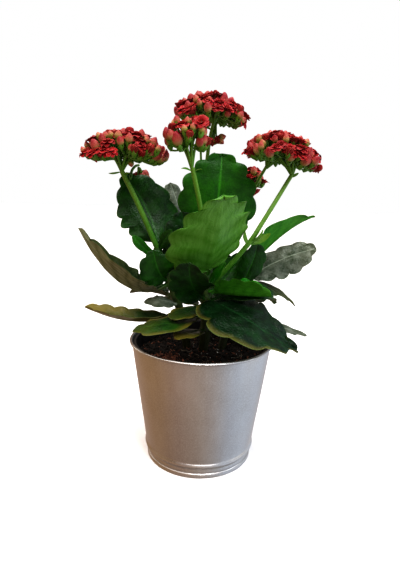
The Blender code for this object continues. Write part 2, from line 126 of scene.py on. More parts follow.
# Each head's florets that stand clear of its dome: tip, direction, and how far it is open,
# from 0 for a bud. The full one on the front head is the big flower that faces forward
STRAYS = {
    "flower_head_left": (
        ((-32, -14, 266), (0.8, -0.1, -0.45), 0.75),
        ((-61, -13, 259), (0.25, -0.3, -0.9), 0.0),
        ((-93, -20, 266), (-0.5, -0.4, -0.3), 0.75),
    ),
    "flower_head_top": (
        ((15, 27, 284), (0.55, -0.3, -0.5), 0.0),
        ((12, 26, 289), (0.5, -0.5, 0.3), 0.5),
        ((17, 29, 291), (0.8, -0.2, 0.2), 0.0),
        ((35, 20, 303), (0.85, -0.3, 0.1), 0.75),
    ),
    "flower_head_front": (
        ((-24, -32, 280), (-0.5, -0.4, 0.3), 0.0),
        ((-5, -37, 281), (0.05, -0.6, 0.5), 0.0),
        ((-4, -41, 294.5), (0.15, -0.85, 0.5), 1.0),
    ),
    "flower_head_right": (
        ((97, -2, 262), (0.7, -0.4, -0.5), 0.5),
        ((90, -10, 262), (0.4, -0.6, -0.5), 0.0),
    ),
    "flower_head_rear": (
        ((49, 53, 240), (0.4, -0.4, -0.6), 0.75),
        ((52, 54, 249), (0.8, -0.3, 0), 1.0),
    ),
}
# Small leaflets on the stalks: foot, direction, length, width
BRACTS = (
    ((37, -13.5, 198), (-0.45, -0.25, 0.85), 15, 5),
    ((38, -12, 199), (0.75, -0.35, 0.45), 17, 7),
    ((39, -11, 199), (0.85, 0.25, 0.30), 19, 8),
    ((-12, -25, 257), (-0.85, -0.2, 0.4), 8, 3),
    ((-10, -24, 256), (0.75, -0.3, 0.6), 7, 3),
    ((72, 3, 255), (0.75, -0.3, 0.4), 8, 3),
    ((74, 3, 257), (-0.5, -0.5, 0.6), 8, 3),
    ((-71, -10, 255), (-0.7, -0.3, -0.2), 10, 2),
    ((-68, -11, 253), (0.6, -0.4, 0.3), 8, 3),
    ((3, 33, 297), (-0.7, -0.3, 0.4), 8, 3),
    ((1.5, 36, 272), (0.7, -0.3, 0.5), 8, 3),
)
# A second thin stalk beside the top one: route, radius at the foot and at the top
SIDE_STALK = (((-2.5, 35, 236), (-5, 35, 268), (-7, 31, 301)), 1.1, 0.9)
# Shoot, node height, middle and tip of the midrib, width, face direction, fold, bend,
# lobes, how far it tapers to its tip, and its kind
LEAVES = {
    "leaf_front_large": ("shoot_centre", 170, (7, -40, 198), (13, -67, 238), 80,
        (-0.48, 0.53, 0.66), 4, 14, 6, 0.05, "fresh"),
    "leaf_front_dark": ("shoot_centre", 150, (-8, -38, 166), (-11, -52, 187), 38,
        (-0.2, -0.9, 0.35), 4, 10, 5, 0, "deep"),
    "leaf_front_bright": ("shoot_centre", 156, (28, -29, 158), (56, -36, 159), 38,
        (0, 0.15, 1), 54, -10, 5, 0.15, "bright"),
    "leaf_front_right": ("shoot_centre", 149, (31, -38, 142), (79, -43, 115), 84,
        (0.3, -0.35, 0.88), 8, -16, 6, 0.55, "edged"),
    "leaf_front_low": ("shoot_centre", 134, (-28, -42, 135), (-55, -47, 131), 32,
        (-0.1, -0.2, 0.97), 6, -14, 4, 0.2, "olive"),
    "leaf_front_lowest": ("shoot_centre", 120, (-10, -37, 126), (-22, -50, 126), 22,
        (0, -0.2, 1), 10, -10, 3, 0.2, "yellowed"),
    "leaf_front_short": ("shoot_centre", 143, (-14, -30, 141), (-25, -42, 139), 26,
        (0, -0.1, 1), 10, -10, 3, 0.2, "olive"),
    "leaf_left_upright": ("shoot_left", 186, (-50, 8, 222), (-74, 14, 254), 60,
        (0.3, -0.9, 0.3), 6, -30, 6, 0.35, "plain"),
    "leaf_left_long": ("shoot_left", 160, (-66, -18, 161), (-101, -30, 210), 48,
        (0.45, 0, 0.9), 48, -10, 6, 0.65, "streaked"),
    "leaf_left_small": ("shoot_left", 148, (-46, 6, 151), (-67, 8, 149), 28,
        (0, 0, 1), 35, -10, 4, 0.4, "streaked"),
    "leaf_left_low": ("shoot_left", 134, (-58, -17, 130), (-102, -16, 141), 36,
        (0, 0, 1), 28, -10, 6, 0.12, "yellowed"),
    "leaf_left_dark": ("shoot_left", 142, (-34, -12, 147), (-51, -14, 146), 24,
        (0, -0.3, 0.95), 6, -20, 4, 0.3, "grey"),
    "leaf_left_inner": ("shoot_left", 164, (-38, -14, 173), (-43, -15, 192), 34,
        (0.1, -0.95, 0.2), 6, -10, 5, 0.1, "plain"),
    "leaf_left_centre": ("shoot_centre", 166, (-14, -4, 196), (-20, -2, 224), 40,
        (0.1, -0.98, 0.15), 6, -10, 5, 0.1, "deep"),
    "leaf_left_behind": ("shoot_left", 150, (-24, 14, 172), (-31, 17, 198), 42,
        (0.1, -0.95, 0.2), 6, -14, 5, 0.1, "deep"),
    "leaf_right_behind": ("shoot_right", 136, (22, 22, 158), (24, 24, 184), 34,
        (-0.1, -0.9, 0.3), 6, -14, 5, 0.1, "deep"),
    "leaf_right_grey": ("shoot_right", 160, (68, 16, 180), (102, 14, 194), 42,
        (-0.15, -0.55, 0.82), 6, -26, 6, 0.05, "grey"),
    "leaf_right_bright": ("shoot_right", 163, (68, 18, 202), (101, 22, 222), 38,
        (-0.3, 0.1, 0.95), 58, -10, 5, 0.75, "bright"),
    "leaf_right_thin": ("shoot_right", 142, (56, 14, 157), (87, 15, 139), 42,
        (0.3, -0.1, 0.95), 4, -20, 5, 0.6, "streaked"),
    "leaf_right_low": ("shoot_right", 114, (60, 22, 117), (103, 26, 107), 32,
        (0.1, -0.1, 1), 4, -10, 5, 0.3, "grey"),
    "leaf_right_inner": ("shoot_right", 150, (42, 0, 179), (46, -3, 198), 26,
        (0.3, -0.9, 0.2), 6, -16, 4, 0.2, "plain"),
    "leaf_right_centre": ("shoot_centre", 152, (22, 6, 168), (33, 10, 188), 26,
        (0.3, -0.8, 0.5), 6, -12, 4, 0.2, "plain"),
    "leaf_right_dark": ("shoot_centre", 147, (40, -20, 160), (60, -21, 156), 26,
        (0.1, -0.4, 0.9), 4, -20, 4, 0.1, "deep"),
    "leaf_back_tall": ("shoot_back", 176, (11, 24, 232), (14, 27, 276), 78,
        (0.05, -0.98, 0.15), 8, -16, 6, 0.25, "mid"),
    "leaf_back_grey": ("shoot_back", 168, (-20, 52, 212), (-36, 62, 250), 44,
        (0.3, -0.5, 0.8), 4, -16, 5, 0.2, "grey"),
    "leaf_back_right": ("shoot_back", 160, (45, 45, 176), (74, 50, 172), 48,
        (0, -0.1, 1), 6, -22, 5, 0.3, "plain"),
    "leaf_back_middle": ("shoot_back", 152, (0, 58, 176), (-5, 72, 202), 54,
        (0, -0.3, 1), 6, -16, 6, 0.1, "plain"),
    "leaf_back_left": ("shoot_back", 142, (-36, 50, 160), (-70, 52, 152), 48,
        (0, 0.1, 1), 6, -20, 5, 0.4, "plain"),
    "leaf_back_low": ("shoot_back", 124, (14, 56, 138), (20, 72, 130), 46,
        (0, 0.1, 1), 6, -20, 5, 0.2, "deep"),
    "leaf_back_low_left": ("shoot_back", 128, (-26, 52, 136), (-44, 68, 128), 40,
        (0, 0.1, 1), 6, -20, 5, 0.3, "olive"),
    "leaf_back_low_right": ("shoot_right", 130, (54, 38, 142), (74, 50, 132), 38,
        (0, 0.1, 1), 6, -20, 5, 0.4, "plain"),
    "leaflet_left_a": ("shoot_left", 182, (-54, -14, 196), (-59, -16, 204), 9,
        (0.2, -0.9, 0.3), 6, -10, 3, 0.3, "mid"),
    "leaflet_left_b": ("shoot_left", 190, (-33, -14, 201), (-27, -18, 209), 11,
        (-0.2, -0.9, 0.3), 6, -10, 3, 0.3, "plain"),
    "leaflet_centre": ("shoot_centre", 160, (11, -19, 172), (18, -22, 184), 9,
        (-0.5, -0.8, 0.3), 25, -10, 3, 0.3, "bright"),
}
# Tiers of petals, from the outer one in: petals in the tier, lean, length and width
OPEN_TIERS = ((6, 76, 6.6, 5.8), (6, 62, 6.3, 5.4), (5, 46, 5.8, 4.8), (5, 30, 5.2, 4.0),
              (3, 12, 4.6, 3.0))
HALF_TIERS = ((5, 40, 7.4, 6.4), (5, 30, 7.0, 5.8), (4, 20, 6.4, 4.6), (3, 8, 5.6, 3.4))
# Upper colours (dark, light), under colours (dark, light), how much it has yellowed
# towards its margin and its tip, and how wrinkled it is. Some kinds hold painted light or painted shade
# in their upper colours, as each says
LEAF_KINDS = {
    # deep: the near-black greens are painted shade, for leaves that sit in the shadow of the others
    "deep": ((0.002, 0.028, 0.002), (0.008, 0.08, 0.004),
        (0.03, 0.07, 0.02), (0.06, 0.12, 0.04), 0, 0, 0.5),
    "plain": ((0.006, 0.056, 0.002), (0.018, 0.13, 0.003),
        (0.05, 0.14, 0.02), (0.12, 0.23, 0.06), 0, 0, 0.3),
    "mid": ((0.014, 0.13, 0.002), (0.036, 0.23, 0.006),
        (0.05, 0.14, 0.02), (0.12, 0.22, 0.05), 0, 0, 0.2),
    "edged": ((0.001, 0.015, 0.002), (0.005, 0.046, 0.008),
        (0.08, 0.12, 0.02), (0.14, 0.18, 0.05), 0.5, 0, 1),
    # grey: the pale grey of the upper face is a painted sheen, the bright room reflected at a grazing
    # angle, over the leaf's own green
    "grey": ((0.05, 0.08, 0.045), (0.24, 0.275, 0.225),
        (0.07, 0.12, 0.05), (0.15, 0.2, 0.11), 0, 0.1, 1),
    # bright: the vivid light green is partly the leaf's own and partly painted light, shining through the
    # thin blade
    "bright": ((0.006, 0.17, 0.001), (0.022, 0.29, 0.004),
        (0.03, 0.22, 0.005), (0.07, 0.34, 0.02), 0, 0.1, 0.2),
    # The bright green of this kind is partly the leaf's own and partly painted light, shining through the
    # thin blade
    "fresh": ((0.045, 0.23, 0.008), (0.09, 0.32, 0.03),
        (0.075, 0.26, 0.01), (0.15, 0.38, 0.055), 0.1, 0.1, 0.2),
    # olive: the dark upper greens are painted shade of an upper side in shadow; the yellowing towards
    # margin and tip is the leaf's own
    "olive": ((0.006, 0.042, 0.003), (0.022, 0.09, 0.007),
        (0.08, 0.11, 0.02), (0.17, 0.18, 0.06), 0.65, 0.25, 0.4),
    "yellowed": ((0.012, 0.045, 0.003), (0.04, 0.085, 0.008),
        (0.1, 0.11, 0.02), (0.2, 0.18, 0.06), 0.5, 1, 0.4),
    "streaked": ((0.012, 0.045, 0.006), (0.04, 0.08, 0.02),
        (0.11, 0.125, 0.05), (0.31, 0.32, 0.2), 0.1, 0.25, 0.6),
}
YELLOWED = (0.23, 0.185, 0.030)

# The room's colour from left to right, and its level from below to above
ROOM_SIDES = ((0.0, (0.62, 0.44, 0.30)), (0.06, (0.54, 0.34, 0.17)), (0.22, (0.60, 0.43, 0.34)),
              (0.50, (0.66, 0.54, 0.46)), (0.72, (0.70, 0.66, 0.66)), (0.88, (0.82, 0.92, 1.08)),
              (1.0, (0.52, 0.56, 0.68)))
ROOM_LEVELS = ((0.0, 0.55), (0.25, 1.1), (0.45, 1.0), (0.6, 0.5), (1.0, 0.42))
SUN_POWER = 3.0
SUN_ANGLE = 85
SUN_FROM = (-0.22, -0.20, 1.0)
# Soft lamps in metres: name, place, size, power and colour, all turned to one middle
LAMP_TARGET = (0, 0, 0.17)
LAMPS = (
    ("window_right", (0.95, -0.25, 0.55), (0.35, 0.7), 3.0, (0.84, 0.92, 1.0)),
    ("window_above", (0.10, 0.25, 1.30), (0.5, 0.5), 5.0, (0.92, 0.96, 1.0)),
    ("window_left", (-0.95, 0.45, 0.45), (0.4, 0.7), 1.6, (1.0, 0.97, 0.92)),
    ("window_front", (0.35, -0.80, 1.15), (0.35, 0.35), 5.0, (0.95, 0.97, 1.0)),
)
STRIP_LAMP = ("strip_front", (0.12, -0.75, 0.42), (0.7, 0.10), 6.0, (0.97, 0.98, 1.0))
STRIP_TARGET = (0.0, 0.0, 0.01)
FLOOR_REACH = 9000  # millimetres
VIEW_GAMMA = 0.75
CAMERA_LENS = 27.0
CAMERA_SPOT = (0, -0.3747, 0.2355)
CAMERA_TURN, CAMERA_DOWN, CAMERA_ROLL = 0.41, 11.46, 1.57  # degrees


# ------- mesh building

class Shape:
    """Points, faces and point values gathered for one mesh in one material."""

    def __init__(self):
        self.points = []
        self.faces = []
        self.values = {}
        self.count = 0

    def add(self, points, faces, **values):
        """Take in a part's points in millimetres, its faces and a value or values for its points."""
        points = np.asarray(points, float).reshape(-1, 3)
        self.points.append(points)
        self.faces += [tuple(int(i) + self.count for i in face) for face in faces]
        for name, value in values.items():
            column = np.broadcast_to(np.asarray(value, float).reshape(-1), (len(points),))
            self.values.setdefault(name, []).append(column)
        self.count += len(points)

    def joined(self):
        """All the points, faces and point values gathered so far."""
        values = {name: np.concatenate(columns) for name, columns in self.values.items()}
        return np.concatenate(self.points), self.faces, values

    def build(self, name, mat, smooth=60):
        """Make the object, in metres, with edges sharper than the smooth angle left sharp."""
        points, faces, values = self.joined()
        mesh = bpy.data.meshes.new(name)
        mesh.from_pydata((points * MM).tolist(), [], faces)
        for key, value in values.items():
            layer = mesh.attributes.new(key, "FLOAT", "POINT")
            layer.data.foreach_set("value", value.astype(np.float32))
        bm = bmesh.new()
        bm.from_mesh(mesh)
        bmesh.ops.recalc_face_normals(bm, faces=bm.faces)
        bm.to_mesh(mesh)
        bm.free()
        mesh.shade_smooth()
        mesh.set_sharp_from_angle(angle=math.radians(smooth))
        mesh.materials.append(mat)
        piece = bpy.data.objects.new(name, mesh)
        bpy.context.scene.collection.objects.link(piece)
        return piece


def loft(rings):
    """Points and faces of a closed skin over a stack of rings, with a cap at each end."""
    rings = np.asarray(rings, float)
    rows, count = rings.shape[:2]
    index = np.arange(rows * count).reshape(rows, count)
    low, high = index[:-1], index[1:]
    quads = np.stack((low, np.roll(low, -1, 1), np.roll(high, -1, 1), high), -1)
    faces = quads.reshape(-1, 4).tolist()
    foot, top = rows * count, rows * count + 1
    for k in range(count):
        after = (k + 1) % count
        faces.append((index[0][after], index[0][k], foot))
        faces.append((index[-1][k], index[-1][after], top))
    points = np.concatenate((rings.reshape(-1, 3), [rings[0].mean(0)], [rings[-1].mean(0)]))
    return points, faces


def capped(values):
    """Ring values with the mean of the first and last ring added for the caps."""
    values = np.asarray(values, float)
    return np.concatenate((values.reshape(-1), [values[0].mean()], [values[-1].mean()]))


def unit(vector):
    """The vector made one long."""
    vector = np.array(vector, float)
    return vector / np.linalg.norm(vector)


def place(piece, node=None):
    """Ride the piece on the body, and let it stand for its CAD node."""
    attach(piece, BODY)
    if node:
        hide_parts(node)
    return piece


def route_points(points, shares):
    """A smooth curve through all the points, at each share from 0 to 1 of the way."""
    spans = len(points) - 1
    found = []
    for share in shares:
        spot = min(max(share, 0.0), 1.0) * spans
        index = min(int(spot), spans - 1)
        t = spot - index
        p1, p2 = np.array(points[index], float), np.array(points[index + 1], float)
        p0 = np.array(points[index - 1], float) if index else 2 * p1 - p2
        p3 = np.array(points[index + 2], float) if index + 2 < len(points) else 2 * p2 - p1
        even = 2 * p1 + (p2 - p0) * t
        square = (2 * p0 - 5 * p1 + 4 * p2 - p3) * t * t
        cube = (3 * p1 - p0 - 3 * p2 + p3) * t * t * t
        found.append((even + square + cube) / 2)
    return np.array(found)


def tube_rings(path, radii, sides):
    """Rings of points round a path."""
    along = np.gradient(path, axis=0)
    along /= np.linalg.norm(along, axis=1, keepdims=True)
    hint = np.array((0.0, 1.0, 0.0)) if abs(along[0][1]) < 0.9 else np.array((1.0, 0.0, 0.0))
    side = np.cross(along, hint)
    side /= np.linalg.norm(side, axis=1, keepdims=True)
    other = np.cross(along, side)
    angles = 2 * math.pi * np.arange(sides) / sides
    ring = side[:, None] * np.cos(angles)[None, :, None] + other[:, None] * np.sin(angles)[None, :, None]
    return path[:, None] + ring * np.asarray(radii, float)[:, None, None]


# ------- materials

class Nodes:
    """Short calls for building the node tree of one material, or of the world."""

    def __init__(self, name, owners=bpy.data.materials, shader="Principled BSDF"):
        self.owner = owners.new(name)
        self.owner.use_nodes = True
        self.tree = self.owner.node_tree
        self.shader = self.tree.nodes[shader]

    def new(self, kind, **settings):
        node = self.tree.nodes.new(kind)
        for key, value in settings.items():
            setattr(node, key, value)
        return node

    def link(self, source, target):
        self.tree.links.new(source, target)

    def feed(self, node, name, value):
        """Link a socket, or set a constant, to a node's input."""
        if isinstance(value, bpy.types.NodeSocket):
            self.link(value, node.inputs[name])
        else:
            node.inputs[name].default_value = value

    def attribute(self, name):
        return self.new("ShaderNodeAttribute", attribute_name=name).outputs["Fac"]

    def place(self):
        return self.new("ShaderNodeTexCoord").outputs["Object"]

    def noise(self, scale, detail=4.0, vector=None, rough=0.5):
        node = self.new("ShaderNodeTexNoise")
        self.link(vector or self.place(), node.inputs["Vector"])
        node.inputs["Scale"].default_value = scale
        node.inputs["Detail"].default_value = detail
        node.inputs["Roughness"].default_value = rough
        return node.outputs["Fac"]

    def math(self, operation, first, second=0.0):
        node = self.new("ShaderNodeMath", operation=operation)
        self.feed(node, 0, first)
        self.feed(node, 1, second)
        return node.outputs[0]

    def ramp(self, value, stops):
        node = self.new("ShaderNodeValToRGB")
        band = node.color_ramp
        while len(band.elements) < len(stops):
            band.elements.new(0.5)
        for element, (spot, colour) in zip(band.elements, stops):
            element.position = spot
            if isinstance(colour, (int, float)):
                colour = (colour, colour, colour)
            element.color = (*colour, 1)
        self.link(value, node.inputs["Fac"])
        return node.outputs["Color"]

    def plus(self, first, second):
        return self.math("ADD", first, second)

    def times(self, first, second):
        return self.math("MULTIPLY", first, second)

    def spots(self, scale, detail, low, high, most=1.0):
        """Noise as a share, from 0 to most."""
        return self.fade(self.noise(scale, detail), low, high, most)

    def fade(self, value, low, high, most=1.0):
        """0 up to the low value, and most from the high one."""
        return self.ramp(value, ((low, 0.0), (high, most)))

    def rough(self, scale, detail, smooth, dull, low=0.3, high=0.7):
        """A roughness that wanders between a smooth and a dull value."""
        return self.ramp(self.noise(scale, detail), ((low, smooth), (high, dull)))

    def mix(self, share, first, second, blend="MIX"):
        node = self.new("ShaderNodeMix", data_type="RGBA", blend_type=blend)
        self.feed(node, 0, share)
        for slot, colour in ((6, first), (7, second)):
            if isinstance(colour, tuple):
                colour = (*colour, 1)
            self.feed(node, slot, colour)
        return node.outputs[2]

    def bump(self, height, strength, distance, normal=None):
        node = self.new("ShaderNodeBump")
        node.inputs["Strength"].default_value = strength
        node.inputs["Distance"].default_value = distance
        self.link(height, node.inputs["Height"])
        if normal:
            self.link(normal, node.inputs["Normal"])
        return node.outputs["Normal"]

    def finish(self, **sockets):
        """Feed the shader's sockets, and return the finished material or world."""
        for name, value in sockets.items():
            self.feed(self.shader, name.replace("_", " "), value)
        return self.owner


def leaf_material(name, kind):
    """A waxy leaf: dark above, paler below, with veins and a thin pale margin."""
    dark, light, below_dark, below_light, edge_age, tip_age, wrinkle = kind
    n = Nodes(name)
    along = n.attribute("along")
    across = n.attribute("across")
    reach = n.math("ABSOLUTE", across)
    under = n.attribute("under")
    vein = n.attribute("vein")
    upper = n.mix(n.spots(130, 5, 0.35, 0.68), dark, light)
    upper = n.mix(n.spots(30, 2, 0.42, 0.72, 0.6), upper, tuple(0.6 * c for c in dark))
    upper = n.mix(n.ramp(vein, ((0.0, 0.35), (0.35, 0.0))), upper, light)
    midrib = n.ramp(reach, ((0.0, 0.6), (0.05, 0.0)))
    upper = n.mix(midrib, upper, tuple(min(1.0, 2.0 * c + 0.01) for c in light))
    stretch = n.new("ShaderNodeCombineXYZ")
    n.link(n.times(along, 2.2), stretch.inputs["X"])
    n.link(n.times(across, 9.0), stretch.inputs["Y"])
    grain = n.noise(1.6, 5, stretch.outputs[0])
    streak = n.plus(n.times(grain, 0.75), n.times(vein, 0.25))
    lower = n.mix(n.fade(streak, 0.42, 0.72), below_dark, below_light)
    colour = n.mix(n.fade(under, 0.35, 0.65), upper, lower)
    blotch = n.math("SUBTRACT", n.noise(45, 3), 0.5)
    if name.endswith("edged"):  # a narrow rim, on one side only
        rim, start = n.plus(across, n.times(blotch, 0.3)), 0.82
    else:
        rim, start = n.plus(reach, n.times(blotch, 0.7)), 0.62
    at_rim = n.times(n.ramp(rim, ((start, 0.0), (0.98, 1.0))), edge_age)
    at_tip = n.times(n.fade(n.plus(along, blotch), 0.45, 0.95), tip_age)
    colour = n.mix(n.math("MAXIMUM", at_rim, at_tip), colour, YELLOWED)
    margin = n.fade(reach, 0.96, 1.0, 0.5)
    colour = n.mix(margin, colour, (0.10, 0.20, 0.04))
    colour = n.mix(n.ramp(along, ((0.0, 0.8), (0.16, 0.0))), colour, (0.03, 0.17, 0.008))
    cells = n.new("ShaderNodeTexVoronoi", feature="DISTANCE_TO_EDGE")
    n.link(n.place(), cells.inputs["Vector"])
    cells.inputs["Scale"].default_value = 330
    net = n.bump(n.fade(cells.outputs["Distance"], 0.0, 0.22), 0.08 + 0.3 * wrinkle, 0.0005)
    fine = n.bump(n.noise(900, 3), 0.10, 0.0003, net)
    lumps = n.bump(n.noise(160, 3), 0.10 + 0.4 * wrinkle, 0.0010, fine)
    ribbed = n.bump(vein, 0.12 + 0.3 * wrinkle, 0.0006, lumps)
    return n.finish(Base_Color=colour, Roughness=n.rough(170, 4, 0.28, 0.44), Normal=ribbed,
                    Specular_IOR_Level=0.32)


def stem_material(name, low, high, stripe):
    """Smooth green stem skin, from its foot's colour to its top's."""
    n = Nodes(name)
    along = n.attribute("along")
    streak = n.noise(350, 4)
    colour = n.mix(along, low, high)
    colour = n.mix(n.fade(streak, 0.45, 0.8, 0.5), colour, stripe)
    bump = n.bump(n.noise(500, 4), 0.15, 0.0004)
    rough = n.ramp(streak, ((0.3, 0.36), (0.7, 0.5)))
    return n.finish(Base_Color=colour, Roughness=rough, Normal=bump)


def petal_material():
    """Red petals, coral outside, with fine lengthwise streaks."""
    n = Nodes("red petal")
    under = n.attribute("under")
    along = n.attribute("along")
    tone = n.attribute("tone")
    inside = n.mix(tone, (0.21, 0.0, 0.004), (0.52, 0.004, 0.012))
    outside = n.mix(tone, (0.36, 0.012, 0.018), (0.54, 0.090, 0.075))
    colour = n.mix(under, inside, outside)
    colour = n.mix(n.ramp(along, ((0.0, 0.8), (0.4, 0.0))), colour, (0.42, 0.16, 0.03))
    colour = n.mix(n.fade(along, 0.86, 1.0, 0.5), colour, (0.62, 0.12, 0.10))
    colour = n.mix(n.spots(900, 3, 0.45, 0.8, 0.4), colour, (0.16, 0.0, 0.002))
    bump = n.bump(n.noise(1400, 3), 0.15, 0.0003)
    return n.finish(Base_Color=colour, Roughness=n.rough(600, 2, 0.45, 0.6), Normal=bump,
                    Specular_IOR_Level=0.2)


def bud_material():
    """Closed buds: green-yellow at the foot, coral, then red at the tip."""
    n = Nodes("coral bud")
    along = n.attribute("along")
    tone = n.attribute("tone")
    wobble = n.plus(along, n.times(n.math("SUBTRACT", tone, 0.5), 0.75))
    wobble = n.plus(wobble, n.times(n.math("SUBTRACT", n.noise(260, 3), 0.5), 0.5))
    colour = n.ramp(wobble, ((0.16, (0.26, 0.34, 0.05)), (0.40, (0.54, 0.32, 0.14)),
                             (0.62, (0.52, 0.12, 0.09)), (0.98, (0.32, 0.006, 0.020))))
    colour = n.mix(n.spots(900, 3, 0.45, 0.8, 0.3), colour, (0.60, 0.24, 0.18))
    bump = n.bump(n.noise(1200, 3), 0.12, 0.0003)
    return n.finish(Base_Color=colour, Roughness=n.rough(500, 2, 0.36, 0.5), Normal=bump,
                    Specular_IOR_Level=0.3)


def steel_material():
    """Zinc-coated sheet steel: satin, with a speckled grain, cloudy patches and faint upright streaks."""
    n = Nodes("satin steel")
    grain = n.noise(1100, 3, rough=0.7)
    stretch = n.new("ShaderNodeMapping")
    stretch.inputs["Scale"].default_value = (1.0, 1.0, 0.04)
    n.link(n.place(), stretch.inputs["Vector"])
    streak = n.noise(130, 3, stretch.outputs["Vector"])
    colour = n.mix(n.spots(22, 3, 0.35, 0.7), (0.52, 0.50, 0.48), (0.60, 0.585, 0.57))
    colour = n.mix(n.fade(streak, 0.40, 0.68, 0.5), colour, (0.50, 0.47, 0.45))
    colour = n.mix(n.fade(grain, 0.42, 0.68, 0.6), colour, (0.74, 0.74, 0.74))
    rough = n.plus(n.rough(70, 4, 0.30, 0.38, high=0.75),
                   n.times(n.math("SUBTRACT", grain, 0.5), 0.18))
    bump = n.bump(grain, 0.22, 0.00018)
    ripple = n.bump(n.noise(30, 2), 0.12, 0.0012, bump)
    return n.finish(Base_Color=colour, Metallic=1.0, Roughness=rough, Normal=ripple)


def plastic_material():
    """Black moulded plastic with a fine satin grain."""
    n = Nodes("black plastic")
    grain = n.noise(1200, 3)
    colour = n.mix(grain, (0.010, 0.010, 0.011), (0.030, 0.030, 0.031))
    return n.finish(Base_Color=colour, Roughness=n.rough(150, 3, 0.28, 0.45),
                    Normal=n.bump(grain, 0.15, 0.0003))


def crumb_material(name, dark, light, rough, scale):
    """Peat, bark or perlite, mottled between two colours."""
    n = Nodes(name)
    tone = n.attribute("tone")
    share = n.plus(n.times(tone, 0.5), n.times(n.noise(scale, 5), 0.5))
    colour = n.mix(n.fade(share, 0.25, 0.75), dark, light)
    return n.finish(Base_Color=colour, Roughness=rough, Normal=n.bump(n.noise(scale * 2, 4), 0.7, 0.0008))


# ------- the pot

def turned(profile, sides, push=None):
    """Points and faces of a ring turned from a closed (radius, height) profile."""
    profile = np.asarray(profile, float)
    angles = 2 * math.pi * np.arange(sides) / sides
    radius = np.repeat(profile[:, :1], sides, 1)
    if push:
        radius = radius + push(angles[None, :], profile[:, 1:2])
    height = np.repeat(profile[:, 1:2], sides, 1)
    points = np.stack((radius * np.cos(angles), radius * np.sin(angles), height), -1)
    rows = len(profile)
    index = np.arange(rows * sides).reshape(rows, sides)
    after = np.roll(index, -1, 0)
    quads = np.stack((index, np.roll(index, -1, 1), np.roll(after, -1, 1), after), -1)
    return points, quads.reshape(-1, 4).tolist()


def build_turned(node, part, profile, sides, mat, push=None):
    """Make a turned piece that stands for its node."""
    shape = Shape()
    shape.add(*turned(profile, sides, push))
    place(shape.build(node + "_" + part, mat, 40), node)


def arc(centre, radius, start, end, steps):
    """Points on a circle in the (radius, height) plane; angles in degrees."""
    angles = np.radians(np.linspace(start, end, steps + 1))
    return [(centre[0] + radius * math.cos(a), centre[1] + radius * math.sin(a)) for a in angles]


def wall_radius(height):
    """Outer radius of the straight tapered wall."""
    share = (height - BEAD_HIGH) / (POT_HEIGHT - BEAD_HIGH)
    return WALL_LOW_RADIUS + (WALL_HIGH_RADIUS - WALL_LOW_RADIUS) * share


def bead(low, high, steps):
    """The pressed half-round bead between two radii."""
    points = []
    for k in range(1, steps):
        share = k / steps
        swell = BEAD_DEPTH * math.sin(math.pi * share)
        points.append((low + (high - low) * share + swell, BEAD_LOW + (BEAD_HIGH - BEAD_LOW) * share))
    return points


def wall_push(angles, heights):
    """The lapped lock seam up the back of the wall, and the slight unevenness of thin sheet."""
    away = np.abs((angles - math.pi / 2 + math.pi) % (2 * math.pi) - math.pi)
    seam = LAP_HEIGHT / (1 + np.exp((away - LAP_HALF_ANGLE) * LAP_SHARPNESS))
    plain = ((heights > BEAD_HIGH + 1) & (heights < POT_HEIGHT - 3)).astype(float)
    uneven = 0.10 * np.sin(3 * angles + heights * 0.03) + 0.06 * np.sin(7 * angles - heights * 0.05)
    return plain * (seam + uneven)


def build_pot(steel):
    """The sheet-steel wall, from its foot seam up over the rolled rim, and the base disc."""
    seam, band = FOOT_RADIUS, FOOT_RADIUS - 0.2
    curl = (RIM_RADIUS - CURL_RADIUS, POT_HEIGHT - CURL_RADIUS)
    outer = [(seam - 0.5, 0.0)] + arc((seam - 0.5, 0.5), 0.5, -60, 0, 3)
    outer += arc((seam - 0.4, SEAM_HEIGHT - 0.4), 0.4, 0, 90, 4)
    outer += [(band - 0.35, SEAM_HEIGHT + 0.2), (band - 0.15, SEAM_HEIGHT + 0.7), (band, BEAD_LOW - 1)]
    outer += [(band, BEAD_LOW)] + bead(band, WALL_LOW_RADIUS, 14)
    heights = np.concatenate(([BEAD_HIGH, BEAD_HIGH + 0.6], np.linspace(BEAD_HIGH + 2, 107, 24), [108.2]))
    outer += [(wall_radius(h), h) for h in heights]
    outer += arc(curl, CURL_RADIUS, -62, 190, 18)
    inner = [(wall_radius(h) - SHEET, h) for h in heights[::-1]]
    inner += [(r - SHEET, h) for r, h in bead(band, WALL_LOW_RADIUS, 8)[::-1]]
    inner += [(band - SHEET, BEAD_LOW), (band - SHEET, 3.9), (SEAM_INSIDE, 3.7), (SEAM_INSIDE, SLOT_HIGH)]
    inner += [(SLOT_RADIUS, SLOT_HIGH), (SLOT_RADIUS, SLOT_LOW), (SEAM_INSIDE, SLOT_LOW)]
    inner += [(SEAM_INSIDE, 0.3), (SEAM_INSIDE + 0.3, 0.0)]
    build_turned("pot_wall", "sheet", outer + inner, POT_SIDES, steel, wall_push)
    disc = [(47.3, 2.1), (47.3, 2.9), (44.0, 2.9), (43.2, 3.1), (AXIS_HOLE, 3.1), (AXIS_HOLE, 2.3)]
    disc += [(43.0, 2.3), (43.8, 2.1)]
    build_turned("pot_base", "disc", disc, BASE_SIDES, steel)


def grower_radius(height):
    """Outer radius of the grower's pot."""
    share = (height - GROWER_FLOOR) / (GROWER_TOP - GROWER_FLOOR)
    return GROWER_FOOT_RADIUS + (GROWER_TOP_RADIUS - GROWER_FOOT_RADIUS) * share


